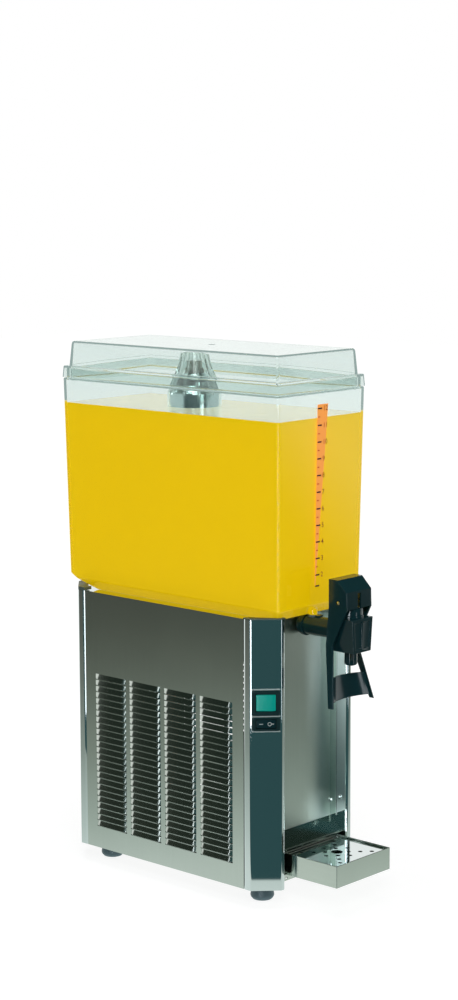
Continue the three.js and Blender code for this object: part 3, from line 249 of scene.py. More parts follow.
# A stack of rounded rectangles about one centre: each level is (half width, half length, height).
def stacked(name, levels, radius, centreY, segments=6):
    halfX, halfY, low = levels[0]
    deselectAll()
    bpy.ops.mesh.primitive_plane_add(size=2, location=at(0, centreY, low))
    made = bpy.context.object
    made.name = made.data.name = name
    made.scale = (mm(halfX), mm(halfY), 1)
    applyPlace()
    bpy.ops.object.mode_set(mode="EDIT")
    bpy.ops.mesh.select_all(action="SELECT")
    bpy.ops.mesh.bevel(offset=mm(radius), segments=segments, affect="VERTICES", profile=0.5)
    bpy.ops.mesh.select_all(action="SELECT")
    for previous, level in zip(levels, levels[1:]):
        extrudeBy((0, 0, mm(level[2] - previous[2])))
        bpy.ops.transform.resize(value=(level[0] / previous[0], level[1] / previous[1], 1),
                                 center_override=at(0, centreY, level[2]))
    return finishMesh(made)


def block(name, low, high):
    deselectAll()
    bpy.ops.mesh.primitive_cube_add(size=1, location=(low + high) / 2)
    made = bpy.context.object
    made.name = made.data.name = name
    made.scale = high - low
    applyPlace()
    return made


def faceTowards(made, direction):
    total = sum(polygon.normal.dot(direction) * polygon.area for polygon in made.data.polygons)
    if total < 0:
        openMesh(made)
        bpy.ops.mesh.flip_normals()
        closeMesh()
    return made


def paint(made, body, look):
    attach(made, body)
    made.data.materials.clear()
    made.data.materials.append(look)
    return made


def settle(made, body, slot, *stoodFor):
    paint(made, body, looks[slot])
    if stoodFor:
        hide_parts(*stoodFor)
    return made


def settleAs(made, node):
    return settle(made, nodes[node]["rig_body"], nodeSlots[node], node)


# A copy of a CAD node's mesh, left open with its triangles joined into flat faces.
def openCopy(node, name):
    made = bpy.data.objects.new(name, nodes[node].data.copy())
    bpy.context.scene.collection.objects.link(made)
    openMesh(made)
    bpy.ops.mesh.remove_doubles(threshold=sameSpotInCopy)
    bpy.ops.mesh.dissolve_limited(angle_limit=math.radians(1))
    return made


# A new piece on a CAD node's shape, with its edges softened.
def dressed(node, name, width, segments=2):
    made = openCopy(node, name)
    closeMesh()
    softenEdges(made, width, segments)
    return settleAs(made, node)


# Materials.
def newGroup(name, inputs, outputs):
    group = bpy.data.node_groups.new(name, "ShaderNodeTree")
    for label, kind, value in inputs:
        socket = group.interface.new_socket(name=label, in_out="INPUT", socket_type=kind)
        socket.default_value = value
    for label, kind in outputs:
        group.interface.new_socket(name=label, in_out="OUTPUT", socket_type=kind)
    return group, group.nodes.new("NodeGroupInput"), group.nodes.new("NodeGroupOutput")


# A number or a colour is set on the socket, and another node's output is linked to it.
def feed(tree, socket, value):
    if isinstance(value, (int, float, tuple)):
        socket.default_value = value
    else:
        tree.links.new(value, socket)


def addMath(tree, operation, *values):
    made = tree.nodes.new("ShaderNodeMath")
    made.operation = operation
    for socket, value in zip(made.inputs, values):
        feed(tree, socket, value)
    return made.outputs[0]


# Fine grain over broad clouds: both move the colour, the fine grain also the roughness and the relief.
def makeGrainGroup():
    group, start, end = newGroup("rolled grain", [
        ("Dark", "NodeSocketColor", (0.2, 0.2, 0.2, 1)), ("Light", "NodeSocketColor", (0.5, 0.5, 0.5, 1)),
        ("Stretch", "NodeSocketVector", (40, 40, 2000)), ("Roughness", "NodeSocketFloat", 0.3),
        ("Spread", "NodeSocketFloat", 0.08), ("Relief", "NodeSocketFloat", 0.1)],
        [("Color", "NodeSocketColor"), ("Roughness", "NodeSocketFloat"), ("Normal", "NodeSocketVector")])
    place = group.nodes.new("ShaderNodeTexCoord").outputs["Object"]
    stretch = group.nodes.new("ShaderNodeVectorMath")
    stretch.operation = "MULTIPLY"
    group.links.new(place, stretch.inputs[0])
    group.links.new(start.outputs["Stretch"], stretch.inputs[1])
    grain = group.nodes.new("ShaderNodeTexNoise")
    grain.inputs["Scale"].default_value = 1
    grain.inputs["Detail"].default_value = 3
    group.links.new(stretch.outputs[0], grain.inputs["Vector"])
    cloud = group.nodes.new("ShaderNodeTexNoise")
    cloud.inputs["Scale"].default_value = 14
    cloud.inputs["Detail"].default_value = 2
    group.links.new(place, cloud.inputs["Vector"])
    both = addMath(group, "MULTIPLY", addMath(group, "ADD", grain.outputs["Fac"], cloud.outputs["Fac"]), 0.5)
    blend = group.nodes.new("ShaderNodeMix")
    blend.data_type = "RGBA"
    group.links.new(both, blend.inputs["Factor"])
    group.links.new(start.outputs["Dark"], blend.inputs["A"])
    group.links.new(start.outputs["Light"], blend.inputs["B"])
    rough = addMath(group, "MULTIPLY_ADD", grain.outputs["Fac"], start.outputs["Spread"],
                    start.outputs["Roughness"])
    bump = group.nodes.new("ShaderNodeBump")
    bump.inputs["Distance"].default_value = 0.0002
    group.links.new(grain.outputs["Fac"], bump.inputs["Height"])
    group.links.new(start.outputs["Relief"], bump.inputs["Strength"])
    group.links.new(blend.outputs["Result"], end.inputs["Color"])
    group.links.new(rough, end.inputs["Roughness"])
    group.links.new(bump.outputs["Normal"], end.inputs["Normal"])
    return group


grainGroup = makeGrainGroup()


def makeLook(name, dark, light, stretch, roughness, spread, relief, **sockets):
    look = bpy.data.materials.new(name)
    look.use_nodes = True
    tree = look.node_tree
    shader = tree.nodes["Principled BSDF"]
    grain = tree.nodes.new("ShaderNodeGroup")
    grain.node_tree = grainGroup
    values = {"Dark": srgb(*dark), "Light": srgb(*light), "Stretch": stretch, "Roughness": roughness,
              "Spread": spread, "Relief": relief}
    for label, value in values.items():
        grain.inputs[label].default_value = value
    for output, label in (("Color", "Base Color"), ("Roughness", "Roughness"), ("Normal", "Normal")):
        tree.links.new(grain.outputs[output], shader.inputs[label])
    for label, value in sockets.items():
        shader.inputs[label.replace("_", " ")].default_value = value
    return look


brushedUp = (900, 900, 6)
brushedAlong = (900, 6, 900)
evenly = (300, 300, 300)
cloudy = (30, 30, 30)
looks = {
    "brushed_steel": makeLook("brushed steel", (192, 199, 193), (214, 220, 213), brushedUp, 0.1, 0.06, 0.04,
                              Metallic=1),
    "mirror_steel": makeLook("mirror steel", (222, 230, 230), (232, 238, 238), evenly, 0.04, 0.02, 0.0,
                             Metallic=1),
    "satin_steel": makeLook("satin steel", (196, 202, 194), (216, 222, 214), brushedAlong, 0.1, 0.06, 0.03,
                            Metallic=1),
    "zinc_plate": makeLook("zinc plate", (140, 142, 138), (172, 174, 170), evenly, 0.42, 0.1, 0.05,
                           Metallic=0.9),
    "cap_plastic": makeLook("cap plastic", (84, 98, 92), (104, 118, 110), evenly, 0.4, 0.08, 0.05),
    "clear_plastic": makeLook("clear plastic", (235, 243, 241), (239, 245, 243), evenly, 0.0, 0.0, 0.0,
                              Transmission_Weight=1, IOR=1.45),
    "black_plastic": makeLook("black plastic", (20, 54, 60), (28, 64, 70), evenly, 0.1, 0.04, 0.01),
    "green_plastic": makeLook("green plastic", (0, 158, 142), (12, 178, 160), evenly, 0.2, 0.05, 0.02,
                              Emission_Color=srgb(0, 160, 145), Emission_Strength=0.3),
    "dark_rubber": makeLook("dark rubber", (78, 98, 108), (96, 118, 128), evenly, 0.4, 0.12, 0.1),
    "white_silicone": makeLook("white silicone", (224, 222, 214), (238, 236, 230), evenly, 0.45, 0.08, 0.03),
    "black_enamel": makeLook("black enamel", (16, 18, 20), (30, 32, 34), evenly, 0.3, 0.08, 0.04),
    "copper": makeLook("copper tube", (170, 98, 62), (206, 132, 88), brushedUp, 0.28, 0.1, 0.04, Metallic=1),
    "aluminium": makeLook("aluminium", (168, 172, 174), (196, 200, 202), brushedUp, 0.36, 0.1, 0.06,
                          Metallic=1),
    "spring_steel": makeLook("spring steel", (190, 186, 160), (214, 208, 180), evenly, 0.24, 0.06, 0.03,
                             Metallic=1),
    "white_plastic": makeLook("white plastic", (220, 220, 214), (236, 236, 230), evenly, 0.35, 0.06, 0.03),
}


# A painted pale glow inside a clear wall: past its first mirroring a ray picks up emission of this tint, so
# that light caught there comes out pale instead of being lost.
def lightenEdges(look, tint, strength):
    tree = look.node_tree
    shader = tree.nodes["Principled BSDF"]
    path = tree.nodes.new("ShaderNodeLightPath")
    caught = addMath(tree, "GREATER_THAN", path.outputs["Glossy Depth"], 1.5)
    tree.links.new(addMath(tree, "MULTIPLY", caught, strength), shader.inputs["Emission Strength"])
    shader.inputs["Emission Color"].default_value = srgb(*tint)


lightenEdges(looks["clear_plastic"], (190, 212, 208), 0.16)

# The CAD nodes that stay get their finishes by their material slots.
for name, node in nodes.items():
    node.data.materials.clear()
    node.data.materials.append(looks[nodeSlots[name]])

# Finishes of the scene's own pieces.
# The juice's emission is a painted glow, standing in for the light that reaches it through the bowl's clear
# wall.
juiceGlowLook = makeLook("orange juice", (192, 158, 0), (196, 162, 0), cloudy, 0.5, 0.05, 0.0,
                     Specular_IOR_Level=0.1, Emission_Color=srgb(220, 184, 0), Emission_Strength=0.72)
# The juice surface's pale emission is a painted sheen.
juiceTopSheenLook = makeLook("juice surface", (222, 200, 130), (228, 208, 142), cloudy, 0.05, 0.02, 0.0,
                        Emission_Color=srgb(226, 214, 184), Emission_Strength=0.35)
satinPanelLook = makeLook("satin panel", (190, 200, 192), (208, 216, 208), brushedUp, 0.28, 0.08, 0.04,
                          Metallic=1)
slopeLook = makeLook("recess slope", (176, 194, 186), (192, 210, 200), evenly, 0.12, 0.03, 0.02, Metallic=1)
# The trim's matt near-white is a painted highlight, standing in for polished trim.
trimHighlightLook = makeLook("bright trim", (214, 224, 222), (226, 234, 232), evenly, 0.3, 0.05, 0.02)
columnLook = makeLook("polished column", (196, 208, 210), (208, 218, 220), evenly, 0.06, 0.03, 0.0,
                      Metallic=1)
# The orange film's emission is a painted glow that brightens it behind the bowl's clear wall.
filmGlowLook = makeLook("orange film", (246, 150, 60), (252, 160, 70), evenly, 0.4, 0.05, 0.0,
                    Emission_Color=srgb(252, 158, 70), Emission_Strength=0.6)
inkLook = makeLook("dark ink", (66, 28, 26), (78, 34, 30), evenly, 0.5, 0.05, 0.0)
redInkLook = makeLook("red ink", (204, 84, 30), (214, 92, 36), evenly, 0.5, 0.05, 0.0)
numberLook = makeLook("number ink", (186, 96, 16), (194, 102, 20), evenly, 0.5, 0.05, 0.0)
bezelLook = makeLook("bezel plastic", (26, 54, 56), (34, 64, 66), evenly, 0.16, 0.05, 0.02)
whiteInkLook = makeLook("white ink", (226, 232, 232), (236, 240, 240), evenly, 0.4, 0.05, 0.0)
stage("materials")

# Side panels with pressed louvres. One louvre and the sheet around it is drawn, mirrored and repeated.
louvre = {"straight": 20.25, "shape": [(22.3, 0.84), (24.6, 0.47), (26.3, 0.17), (27.25, 0)],
          "columnPitch": 61.7, "rowPitch": 8.2, "height": 6.2, "depth": 3, "lipWall": 0.8, "lipHeight": 0.3,
          "mouth": 1.6, "mouthSpan": (0.1, 0.9), "firstLip": 53.5, "columns": 4, "rows": 25, "curveAngle": 14}
panel = {"face": 93.4, "halfLength": 138.2, "bottom": 23, "top": 364, "flange": 1, "flangeDepth": 6}


def louvreCell(name):
    depth, height, mouth = louvre["depth"], louvre["height"], louvre["mouth"]
    outline = [(0, height - louvre["rowPitch"]), (0, -mouth), (-louvre["lipWall"], -mouth),
               (depth - louvre["lipWall"], 0), (depth, 0), (depth, louvre["lipHeight"]), (0, height)]
    made = drawPath(name, [Vector((mm(x), 0, mm(z))) for x, z in outline])
    stations = [(louvre["straight"], 1), *louvre["shape"], (louvre["columnPitch"] / 2, 0)]
    before, swell = 0, 1
    for y, nextSwell in stations:
        extrudeBy((0, mm(y - before), 0))
        if swell:
            bpy.ops.transform.resize(value=(nextSwell / swell, 1, 1), center_override=(0, 0, 0))
        before, swell = y, nextSwell
    bpy.ops.mesh.select_all(action="SELECT")
    bpy.ops.mesh.duplicate()
    bpy.ops.transform.resize(value=(1, -1, 1), center_override=(0, 0, 0))
    mergeMesh()

    # The mouth: the faces whose middle lies between the sheet's edge and the lip.
    top, bottom = (-share * mm(mouth) for share in louvre["mouthSpan"])
    end = mm(louvre["shape"][-1][0])
    selectFaces(made, lambda face: bottom < face.calc_center_median().z < top
                and abs(face.calc_center_median().y) < end)
    bpy.ops.mesh.delete(type="ONLY_FACE")
    closeMesh()
    return made


def repeat(made, count, step):
    rows = made.modifiers.new("repeat", "ARRAY")
    rows.count = count
    rows.use_relative_offset = False
    rows.use_constant_offset = True
    rows.constant_offset_displace = step
    rows.use_merge_vertices = True
    rows.merge_threshold = sameSpotInCopy


def sidePanel(name, side, node):
    made = louvreCell(name)
    repeat(made, louvre["rows"], (0, 0, mm(louvre["rowPitch"])))
    repeat(made, louvre["columns"], (0, mm(louvre["columnPitch"]), 0))
    applyModifiers(made)
    made.location = at(0, -(louvre["columns"] - 1) / 2 * louvre["columnPitch"], louvre["firstLip"])
    made.location.x = mm(panel["face"])
    applyPlace()
    bpy.ops.object.mode_set(mode="EDIT")
    low = mm(louvre["firstLip"] + louvre["height"] - louvre["rowPitch"])
    high = low + mm(louvre["rows"] * louvre["rowPitch"])

    def selectRim(axis, value):
        selectEdges(made, lambda edge: edge.is_boundary and all(abs(vertex.co[axis] - value) < sameSpot
                                                                for vertex in edge.verts))

    selectRim(2, low)
    extrudeBy((0, 0, mm(panel["bottom"]) - low))
    selectRim(2, high)
    extrudeBy((0, 0, mm(panel["top"]) - high))
    reach = mm(louvre["columnPitch"] * louvre["columns"] / 2)
    for way in (-1, 1):
        selectRim(1, mm(frameShift) + way * reach)
        extrudeBy((0, way * (mm(panel["halfLength"]) - reach), 0))
    selectRim(2, mm(panel["top"]))
    extrudeBy((mm(-panel["flange"]), 0, 0))
    extrudeBy((0, 0, mm(-panel["flangeDepth"])))
    if side < 0:
        bpy.ops.mesh.select_all(action="SELECT")
        bpy.ops.transform.resize(value=(-1, 1, 1), center_override=(0, 0, 0))
    closeMesh()
    faceTowards(made, alongX * side)
    shadeSmooth(louvre["curveAngle"])
    return settleAs(made, node)


sidePanel("leftSidePanel", -1, "left_side_panel")
sidePanel("rightSidePanel", 1, "right_side_panel")
stage("side panels")

# Corner posts: bent mirror-polished sheet, the front ones turned back along the recess.
post = {"side": 94, "flat": 150, "flangeY": 138.5, "hem": 1.1, "hemRun": 3.2, "stripX": 66.8,
        "frontY": 177.2, "returnX": 59.6, "returnY": 150.3, "bend": 3.4, "sheet": 1, "bottom": 23,
        "top": 364, "bendSteps": 6, "soft": 0.22}
facet = {"x": -80.4, "y": -163.6}
bezelHoles = {"half": 17.3, "depth": 13, "heights": [(247.0, 275.0), (228.0, 241.5)]}
turn45 = math.sqrt(0.5)


# A place on the facet: along to the right, out from its face, and the height.
def onFacet(along, out, z):
    return at(facet["x"] + turn45 * (along - out), facet["y"] - turn45 * (along + out), z)


def rounded(corners, radius, steps):
    path = [corners[0]]
    for before, corner, after in zip(corners, corners[1:], corners[2:]):
        back = (before - corner).normalized()
        ahead = (after - corner).normalized()
        half = back.angle(ahead) / 2
        reach = min(radius / math.tan(half), (before - corner).length / 2, (after - corner).length / 2)
        centre = corner + (back + ahead).normalized() * (reach * math.tan(half) / math.sin(half))
        first = corner + back * reach - centre
        last = corner + ahead * reach - centre
        turn = first.angle(last)
        for step in range(steps + 1):
            share = step / steps
            path.append(centre + (first * math.sin((1 - share) * turn) + last * math.sin(share * turn))
                        / math.sin(turn))
    path.append(corners[-1])
    return path


# A block on the facet: its ends along it, how far it stands out and reaches in, and its heights.
def facetBlock(name, ends, out, depth, low, high):
    made = block(name, Vector((ends[0], -out, low)) / 1000, Vector((ends[1], depth, high)) / 1000)
    made.rotation_euler = (0, 0, math.radians(-45))
    made.location = at(facet["x"], facet["y"], 0)
    applyPlace()
    return made


def cornerPost(name, node, sideX, sideY, withReturn):
    side = post["side"]
    corners = [(side - post["hem"], post["flangeY"]), (side, post["flangeY"] + post["hemRun"]),
               (side, post["flat"]), (post["stripX"], post["frontY"]), (post["returnX"], post["frontY"])]
    if withReturn:
        corners.append((post["returnX"], post["returnY"]))
    path = rounded([at(sideX * x, sideY * y, post["bottom"]) for x, y in corners], mm(post["bend"]),
                   post["bendSteps"])
    made = drawPath(name, path)
    extrudeBy((0, 0, mm(post["top"] - post["bottom"])))
    finishMesh(made)
    faceTowards(made, Vector((sideX, sideY, 0)))
    thicken(made, post["sheet"])
    if node == "front_left_post":
        for low, high in bezelHoles["heights"]:
            half, depth = bezelHoles["half"], bezelHoles["depth"]
            combine(made, facetBlock("bezel hole", (-half, half), depth, depth, low, high))
    softenEdges(made, post["soft"], angle=sheetAngle)
    return settleAs(made, node)


cornerPost("frontLeftPost", "front_left_post", -1, -1, True)
cornerPost("frontRightPost", "front_right_post", 1, -1, True)
cornerPost("rearLeftPost", "rear_left_post", -1, 1, False)
cornerPost("rearRightPost", "rear_right_post", 1, 1, False)
stage("posts")

# Feet: a rubber cone over a rounded sole.
foot = {"x": 53, "front": -133, "rear": 133,
        "profile": [(0, 0), (10.5, 0), (12.2, 0.6), (14.4, 3.2), (15, 5.2), (14.8, 7.2), (13.6, 12),
                    (12.6, 18), (12.5, 22.4), (12.1, 23), (0, 23)]}
for sideX, way in (("left", -1), ("right", 1)):
    for sideY in ("front", "rear"):
        made = turned("foot" + sideY.title() + sideX.title(), foot["profile"],
                      at(way * foot["x"], foot[sideY], 0))
        settleAs(made, "foot_" + sideY + "_" + sideX)
stage("feet")

# Pieces that keep their CAD shape: each with its name here and the width of its softened edges.
softened = {"front_left_cap": ("frontLeftCap", 0.4), "front_right_cap": ("frontRightCap", 0.4),
            "rear_left_cap": ("rearLeftCap", 0.8), "rear_right_cap": ("rearRightCap", 0.8),
            "tray_bracket": ("trayBracket", 0.25), "drip_tray": ("dripTray", 0.5),
            "drip_grid": ("dripGrid", 0.5), "rear_panel": ("rearPanel", 0.3),
            "green_rocker": ("greenRocker", 0.7), "black_rocker": ("blackRocker", 0.5),
            "deck": ("deckTray", 0.3)}
for node, (name, width) in softened.items():
    dressed(node, name, width)
bezels = {"upper_switch_bezel": ("upperBezel", 0.7), "lower_switch_bezel": ("lowerBezel", 0.7)}
for node, (name, width) in bezels.items():
    dressed(node, name, width, segments=3).data.materials[0] = bezelLook
stage("dressed pieces")

# Recess panel: a sheet that slopes out to a lip over the tray, with a flange up each side.
recess = {"half": 59.3, "flange": 10, "sheet": 1, "slopeTop": 87, "bend": 1.6, "bendSteps": 4,
          "soft": 0.2, "flangeSoft": 0.25, "flangeGap": 1, "slack": 0.5,
          "path": [(-150, 358.5), (-150, 87), (-168.4, 69.8), (-168.4, 67.3), (-150.5, 67.3),
                   (-150.5, 24.5)]}


def makeRecessPanel():
    path = rounded([at(-recess["half"], y, z) for y, z in recess["path"]], mm(recess["bend"]),
                   recess["bendSteps"])
    made = drawPath("recessPanel", path)
    extrudeBy((2 * mm(recess["half"]), 0, 0))
    finishMesh(made)
    faceTowards(made, -alongY)
    thicken(made, recess["sheet"])
    softenEdges(made, recess["soft"], angle=sheetAngle)
    rear, top = recess["path"][0]
    flangeFoot = recess["slopeTop"] + recess["flangeGap"]
    for way in (-1, 1):
        ends = sorted([way * recess["half"], way * (recess["half"] - recess["sheet"])])
        flange = block("flange", at(ends[0], rear - recess["flange"], flangeFoot),
                       at(ends[1], rear + recess["sheet"] / 2, top))
        softenEdges(flange, recess["flangeSoft"], angle=sheetAngle)
        joinPieces(made, flange)
    settleAs(made, "recess_panel")
    made.data.materials[0] = satinPanelLook
    openMesh(made)
    wallFoot, lip = mm(recess["slopeTop"] - recess["slack"]), mm(recess["path"][3][1])
    selectFaces(made, lambda face: lip < face.calc_center_median().z < wallFoot
                or abs(face.normal.x) > mostly)
    giveSelectedFaces(made, slopeLook)
    closeMesh()
    return made


makeRecessPanel()

# Trim across the facet, above, between and below the two switches: polished trim, painted a matt near-white
# as its highlight.
trim = {"half": 17.5, "out": 1.5, "depth": 0.4, "thick": 0.55, "heights": [277.7, 244.2, 225.3]}
trims = [facetBlock("trim", (-trim["half"], trim["half"]), trim["out"], trim["depth"],
                    z - trim["thick"], z + trim["thick"]) for z in trim["heights"]]
paint(joinPieces(*trims), "cabinet", trimHighlightLook).name = "switchTrim"
stage("recess panel and trim")

# Marks on the lower rocker: a bar, a ring and the bar beside it.
marks = {"height": 234.75, "dash": (-8.4, -3.6), "ring": 4.4, "ringRadius": (1.7, 2.5),
         "bar": (6.9, 9.6), "thick": 0.9, "out": 1.8, "depth": 0.5, "steps": 32}


def rockerMarks():
    half, out, depth, z = marks["thick"] / 2, marks["out"], marks["depth"], marks["height"]
    bars = [facetBlock("bar mark", ends, out, depth, z - half, z + half)
            for ends in (marks["dash"], marks["bar"])]
    inner, outer = marks["ringRadius"]
    ring = turned("ring mark",
                  [(inner, -depth), (outer, -depth), (outer, out), (inner, out), (inner, -depth)],
                  onFacet(marks["ring"], 0, z), Vector((-turn45, -turn45, 0)), marks["steps"])
    made = joinPieces(*bars, ring)
    made.name = made.data.name = "rockerMarks"
    return paint(made, nodes["black_rocker"]["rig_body"], whiteInkLook)


rockerMarks()
stage("rocker marks")

# Screws on the recess's right return: domed heads with a slot.
screw = {"x": 59.6, "places": [(-151.5, 107), (-165, 113)], "slot": (0.35, 2.6), "slotReach": (4, 1.6),
         "profile": [(0, 2.3), (1.5, 2.15), (2.7, 1.5), (3.3, 0.5), (3.3, -0.5), (0, -0.5)], "steps": 32}
for number, (y, z) in enumerate(screw["places"], 1):
    head = turned("recessScrew" + str(number), screw["profile"], at(screw["x"], y, z), -alongX,
                  screw["steps"])
    half, long = screw["slot"]
    outside, inside = (screw["x"] - reach for reach in screw["slotReach"])
    combine(head, block("slot", at(outside, y - half, z - long), at(inside, y + half, z + long)))
    settle(head, "cabinet", "mirror_steel")
stage("screws")

# Bowl: a drafted box with a bevelled foot, a sloped rear floor, an outlet stub and a hole for the column.
bowl = {"halfX": 78, "halfY": 182.5, "centreY": 0.8, "rim": 650, "draft": 0.0173, "wall": 3.8,
        "radius": 2.4, "swell": 3.7, "shoulder": 638.2, "step": 0.8, "bottom": 360.3, "bevelRise": 14,
        "bevelRun": 13.7, "halfwayRun": 0.47, "slopeStart": 146, "slope": 0.56, "juice": 605.6, "floor": 4,
        "stubY": -170.7, "stubRadius": 5.4, "stubBore": 3.6, "stubBottom": 352.3, "stubTop": 367,
        "drainTop": 370, "holeTop": 368, "past": 2, "open": 5, "cornerSoft": 1.4, "edgeSoft": 0.5,
        "innerDrop": 0.6, "innerRound": 0.25}
column = {"y": 27, "radius": 31.5, "holeRadius": 36.7}


# The wall stands out below a shoulder, which lies under the lid's skirt. Inside, by shares of the inset, the
# shoulder lies lower and the corners are tighter.
def bowlShell(name, inset, rise, top):
    shoulder = bowl["shoulder"] - inset * bowl["innerDrop"]
    bottom = bowl["bottom"] + rise
    turn = bowl["bottom"] + bowl["bevelRise"] + rise / 2
    run = bowl["bevelRun"]

    def level(z, extra=0):
        lean = (bowl["rim"] - z) * bowl["draft"] + inset + extra - (bowl["swell"] if z < shoulder else 0)
        return (bowl["halfX"] - lean, bowl["halfY"] - lean, z)

    levels = [level(bottom, run), level((bottom + turn) / 2, run * bowl["halfwayRun"]), level(turn)]
    if top > shoulder:
        levels += [level(shoulder - bowl["step"]), level(shoulder)]
    levels.append(level(top))
    made = stacked(name, levels, bowl["radius"] - inset * bowl["innerRound"], bowl["centreY"])
    start = at(0, bowl["slopeStart"], bottom)
    openMesh(made)
    away = Vector((0, bowl["slope"], -1)).normalized()
    bpy.ops.mesh.bisect(plane_co=start, plane_no=away, use_fill=True, clear_outer=True)
    return finishMesh(made)


def rod(name, x, y, radius, low, high, steps=48):
    return turned(name, [(0, low), (radius, low), (radius, high), (0, high)], at(x, y, 0), upward, steps)


# The outlet stub's place, and how far bores and rods run past the face that they start or end on.
stub, past = bowl["stubY"], bowl["past"]
outer = bowlShell("bowlWall", 0, 0, bowl["rim"])
softenEdges(outer, bowl["cornerSoft"], segments=3, angle=20)
combine(outer, rod("stub", 0, stub, bowl["stubRadius"], bowl["stubBottom"], bowl["stubTop"]), "UNION")
combine(outer, bowlShell("bowlRoom", bowl["wall"], bowl["floor"], bowl["rim"] + bowl["open"]))
combine(outer, rod("drain", 0, stub, bowl["stubBore"], bowl["stubBottom"] - past, bowl["drainTop"]))
combine(outer, rod("column hole", 0, column["y"], column["holeRadius"], bowl["bottom"] - past,
                   bowl["holeTop"]))
softenEdges(outer, bowl["edgeSoft"], angle=50)
settleAs(outer, "bowl")

# Juice: the bowl's room filled to a slightly uneven surface, cut there by a rippled slab.
ripple = {"rise": 0.25, "size": 0.03, "cells": (44, 96), "wet": 0.3, "floorRise": 1.4, "extra": 6,
          "overhang": 4, "slab": 14, "stubWet": 0.2, "stubRise": 0.4, "columnTop": 620, "skin": 4}
clouds = bpy.data.textures.new("juice ripples", "CLOUDS")
clouds.noise_scale = ripple["size"]
juice = bowlShell("juice", bowl["wall"] - ripple["wet"], ripple["floorRise"],
                  bowl["juice"] + ripple["extra"])
deselectAll()
bpy.ops.mesh.primitive_grid_add(x_subdivisions=ripple["cells"][0], y_subdivisions=ripple["cells"][1],
                                size=2, location=at(0, bowl["centreY"], bowl["juice"]))
slab = bpy.context.object
slab.scale = (mm(bowl["halfX"] + ripple["overhang"]), mm(bowl["halfY"] + ripple["overhang"]), 1)
applyPlace()
waves = slab.modifiers.new("waves", "DISPLACE")
waves.texture = clouds
waves.texture_coords = "LOCAL"
waves.direction = "Z"
waves.strength = mm(ripple["rise"]) * 2
applyModifiers(slab)
openMesh(slab)
extrudeBy((0, 0, mm(ripple["slab"])))
finishMesh(slab)
combine(juice, slab)
combine(juice, rod("stub juice", 0, stub, bowl["stubBore"] + ripple["stubWet"],
                   bowl["stubBottom"] + ripple["stubRise"], bowl["stubTop"]), "UNION")
combine(juice, rod("column room", 0, column["y"], column["radius"] + ripple["wet"], bowl["bottom"],
                   ripple["columnTop"]))
shadeSmooth()
keepFlatsFlat(juice)
paint(juice, "bowl", juiceGlowLook)
openMesh(juice)
surface = mm(bowl["juice"] - ripple["skin"])
selectFaces(juice, lambda face: face.normal.z > mostly and face.calc_center_median().z > surface)
giveSelectedFaces(juice, juiceTopSheenLook)
closeMesh()
stage("bowl and juice")

# Scale on the bowl's front wall: an orange film that narrows downwards, ticks and plain litre numbers.
scale = {"left": -9.4, "right": 10.5, "foot": -8.5, "top": 622, "bottom": 398, "litre": 20.57,
         "lowest": 411.3, "least": 397.5, "full": (2, 12), "long": (-8.6, -1), "short": (-8.1, -4.3),
         "thick": 1.9, "thin": 1.2, "numberX": 1.4, "numberSize": 8.8, "halfDigit": 0.34,
         "digitOut": 0.14, "digitThick": 0.06, "digitFat": 0.05, "film": (-0.02, 0.1), "tick": (0.04, 0.2)}


def frontY(z):
    return bowl["centreY"] - bowl["halfY"] - bowl["swell"] + (bowl["rim"] - z) * bowl["draft"]


def frontMark(name, corners, low, high):
    made = drawPath(name, [at(x, frontY(z) - low, z) for x, z in corners])
    bpy.ops.mesh.edge_face_add()
    extrudeBy((0, mm(low - high), 0))
    return finishMesh(made)


def plainNumber(litre, z):
    deselectAll()
    bpy.ops.object.text_add(location=at(scale["numberX"], frontY(z) - scale["digitOut"],
                                        z - scale["numberSize"] * scale["halfDigit"]),
                            rotation=(math.radians(90), 0, 0))
    digits = bpy.context.object
    digits.data.body = str(litre)
    digits.data.size = mm(scale["numberSize"])
    digits.data.extrude = mm(scale["digitThick"])
    digits.data.offset = mm(scale["digitFat"])
    bpy.ops.object.convert(target="MESH")
    digits = bpy.context.object
    applyPlace()
    openMesh(digits)
    return finishMesh(digits)


def bowlScale():
    film = frontMark("scaleFilm", [(scale["left"], scale["top"]), (scale["right"], scale["top"]),
                                   (scale["foot"], scale["bottom"]), (scale["left"], scale["bottom"])],
                     *scale["film"])
    paint(film, "bowl", filmGlowLook)
    longs, shorts, numbers = [], [], []
    first, last = scale["full"]

    def tick(z, ends, thick):
        (left, right), half = ends, thick / 2
        return frontMark("tick", [(left, z + half), (right, z + half), (right, z - half),
                                  (left, z - half)], *scale["tick"])

    longs.append(tick(scale["least"], scale["long"], scale["thick"]))
    for litre in range(first, last + 1):
        z = scale["lowest"] + (litre - first) * scale["litre"]
        longs.append(tick(z, scale["long"], scale["thick"]))
        if litre < last:
            shorts.append(tick(z + scale["litre"] / 2, scale["short"], scale["thin"]))
        numbers.append(plainNumber(litre, z))
    for name, pieces, look in (("scaleLongTicks", longs, inkLook), ("scaleShortTicks", shorts, redInkLook),
                               ("scaleNumbers", numbers, numberLook)):
        made = joinPieces(pieces[0], *pieces[1:])
        made.name = made.data.name = name
        paint(made, "bowl", look)


bowlScale()
stage("scale")

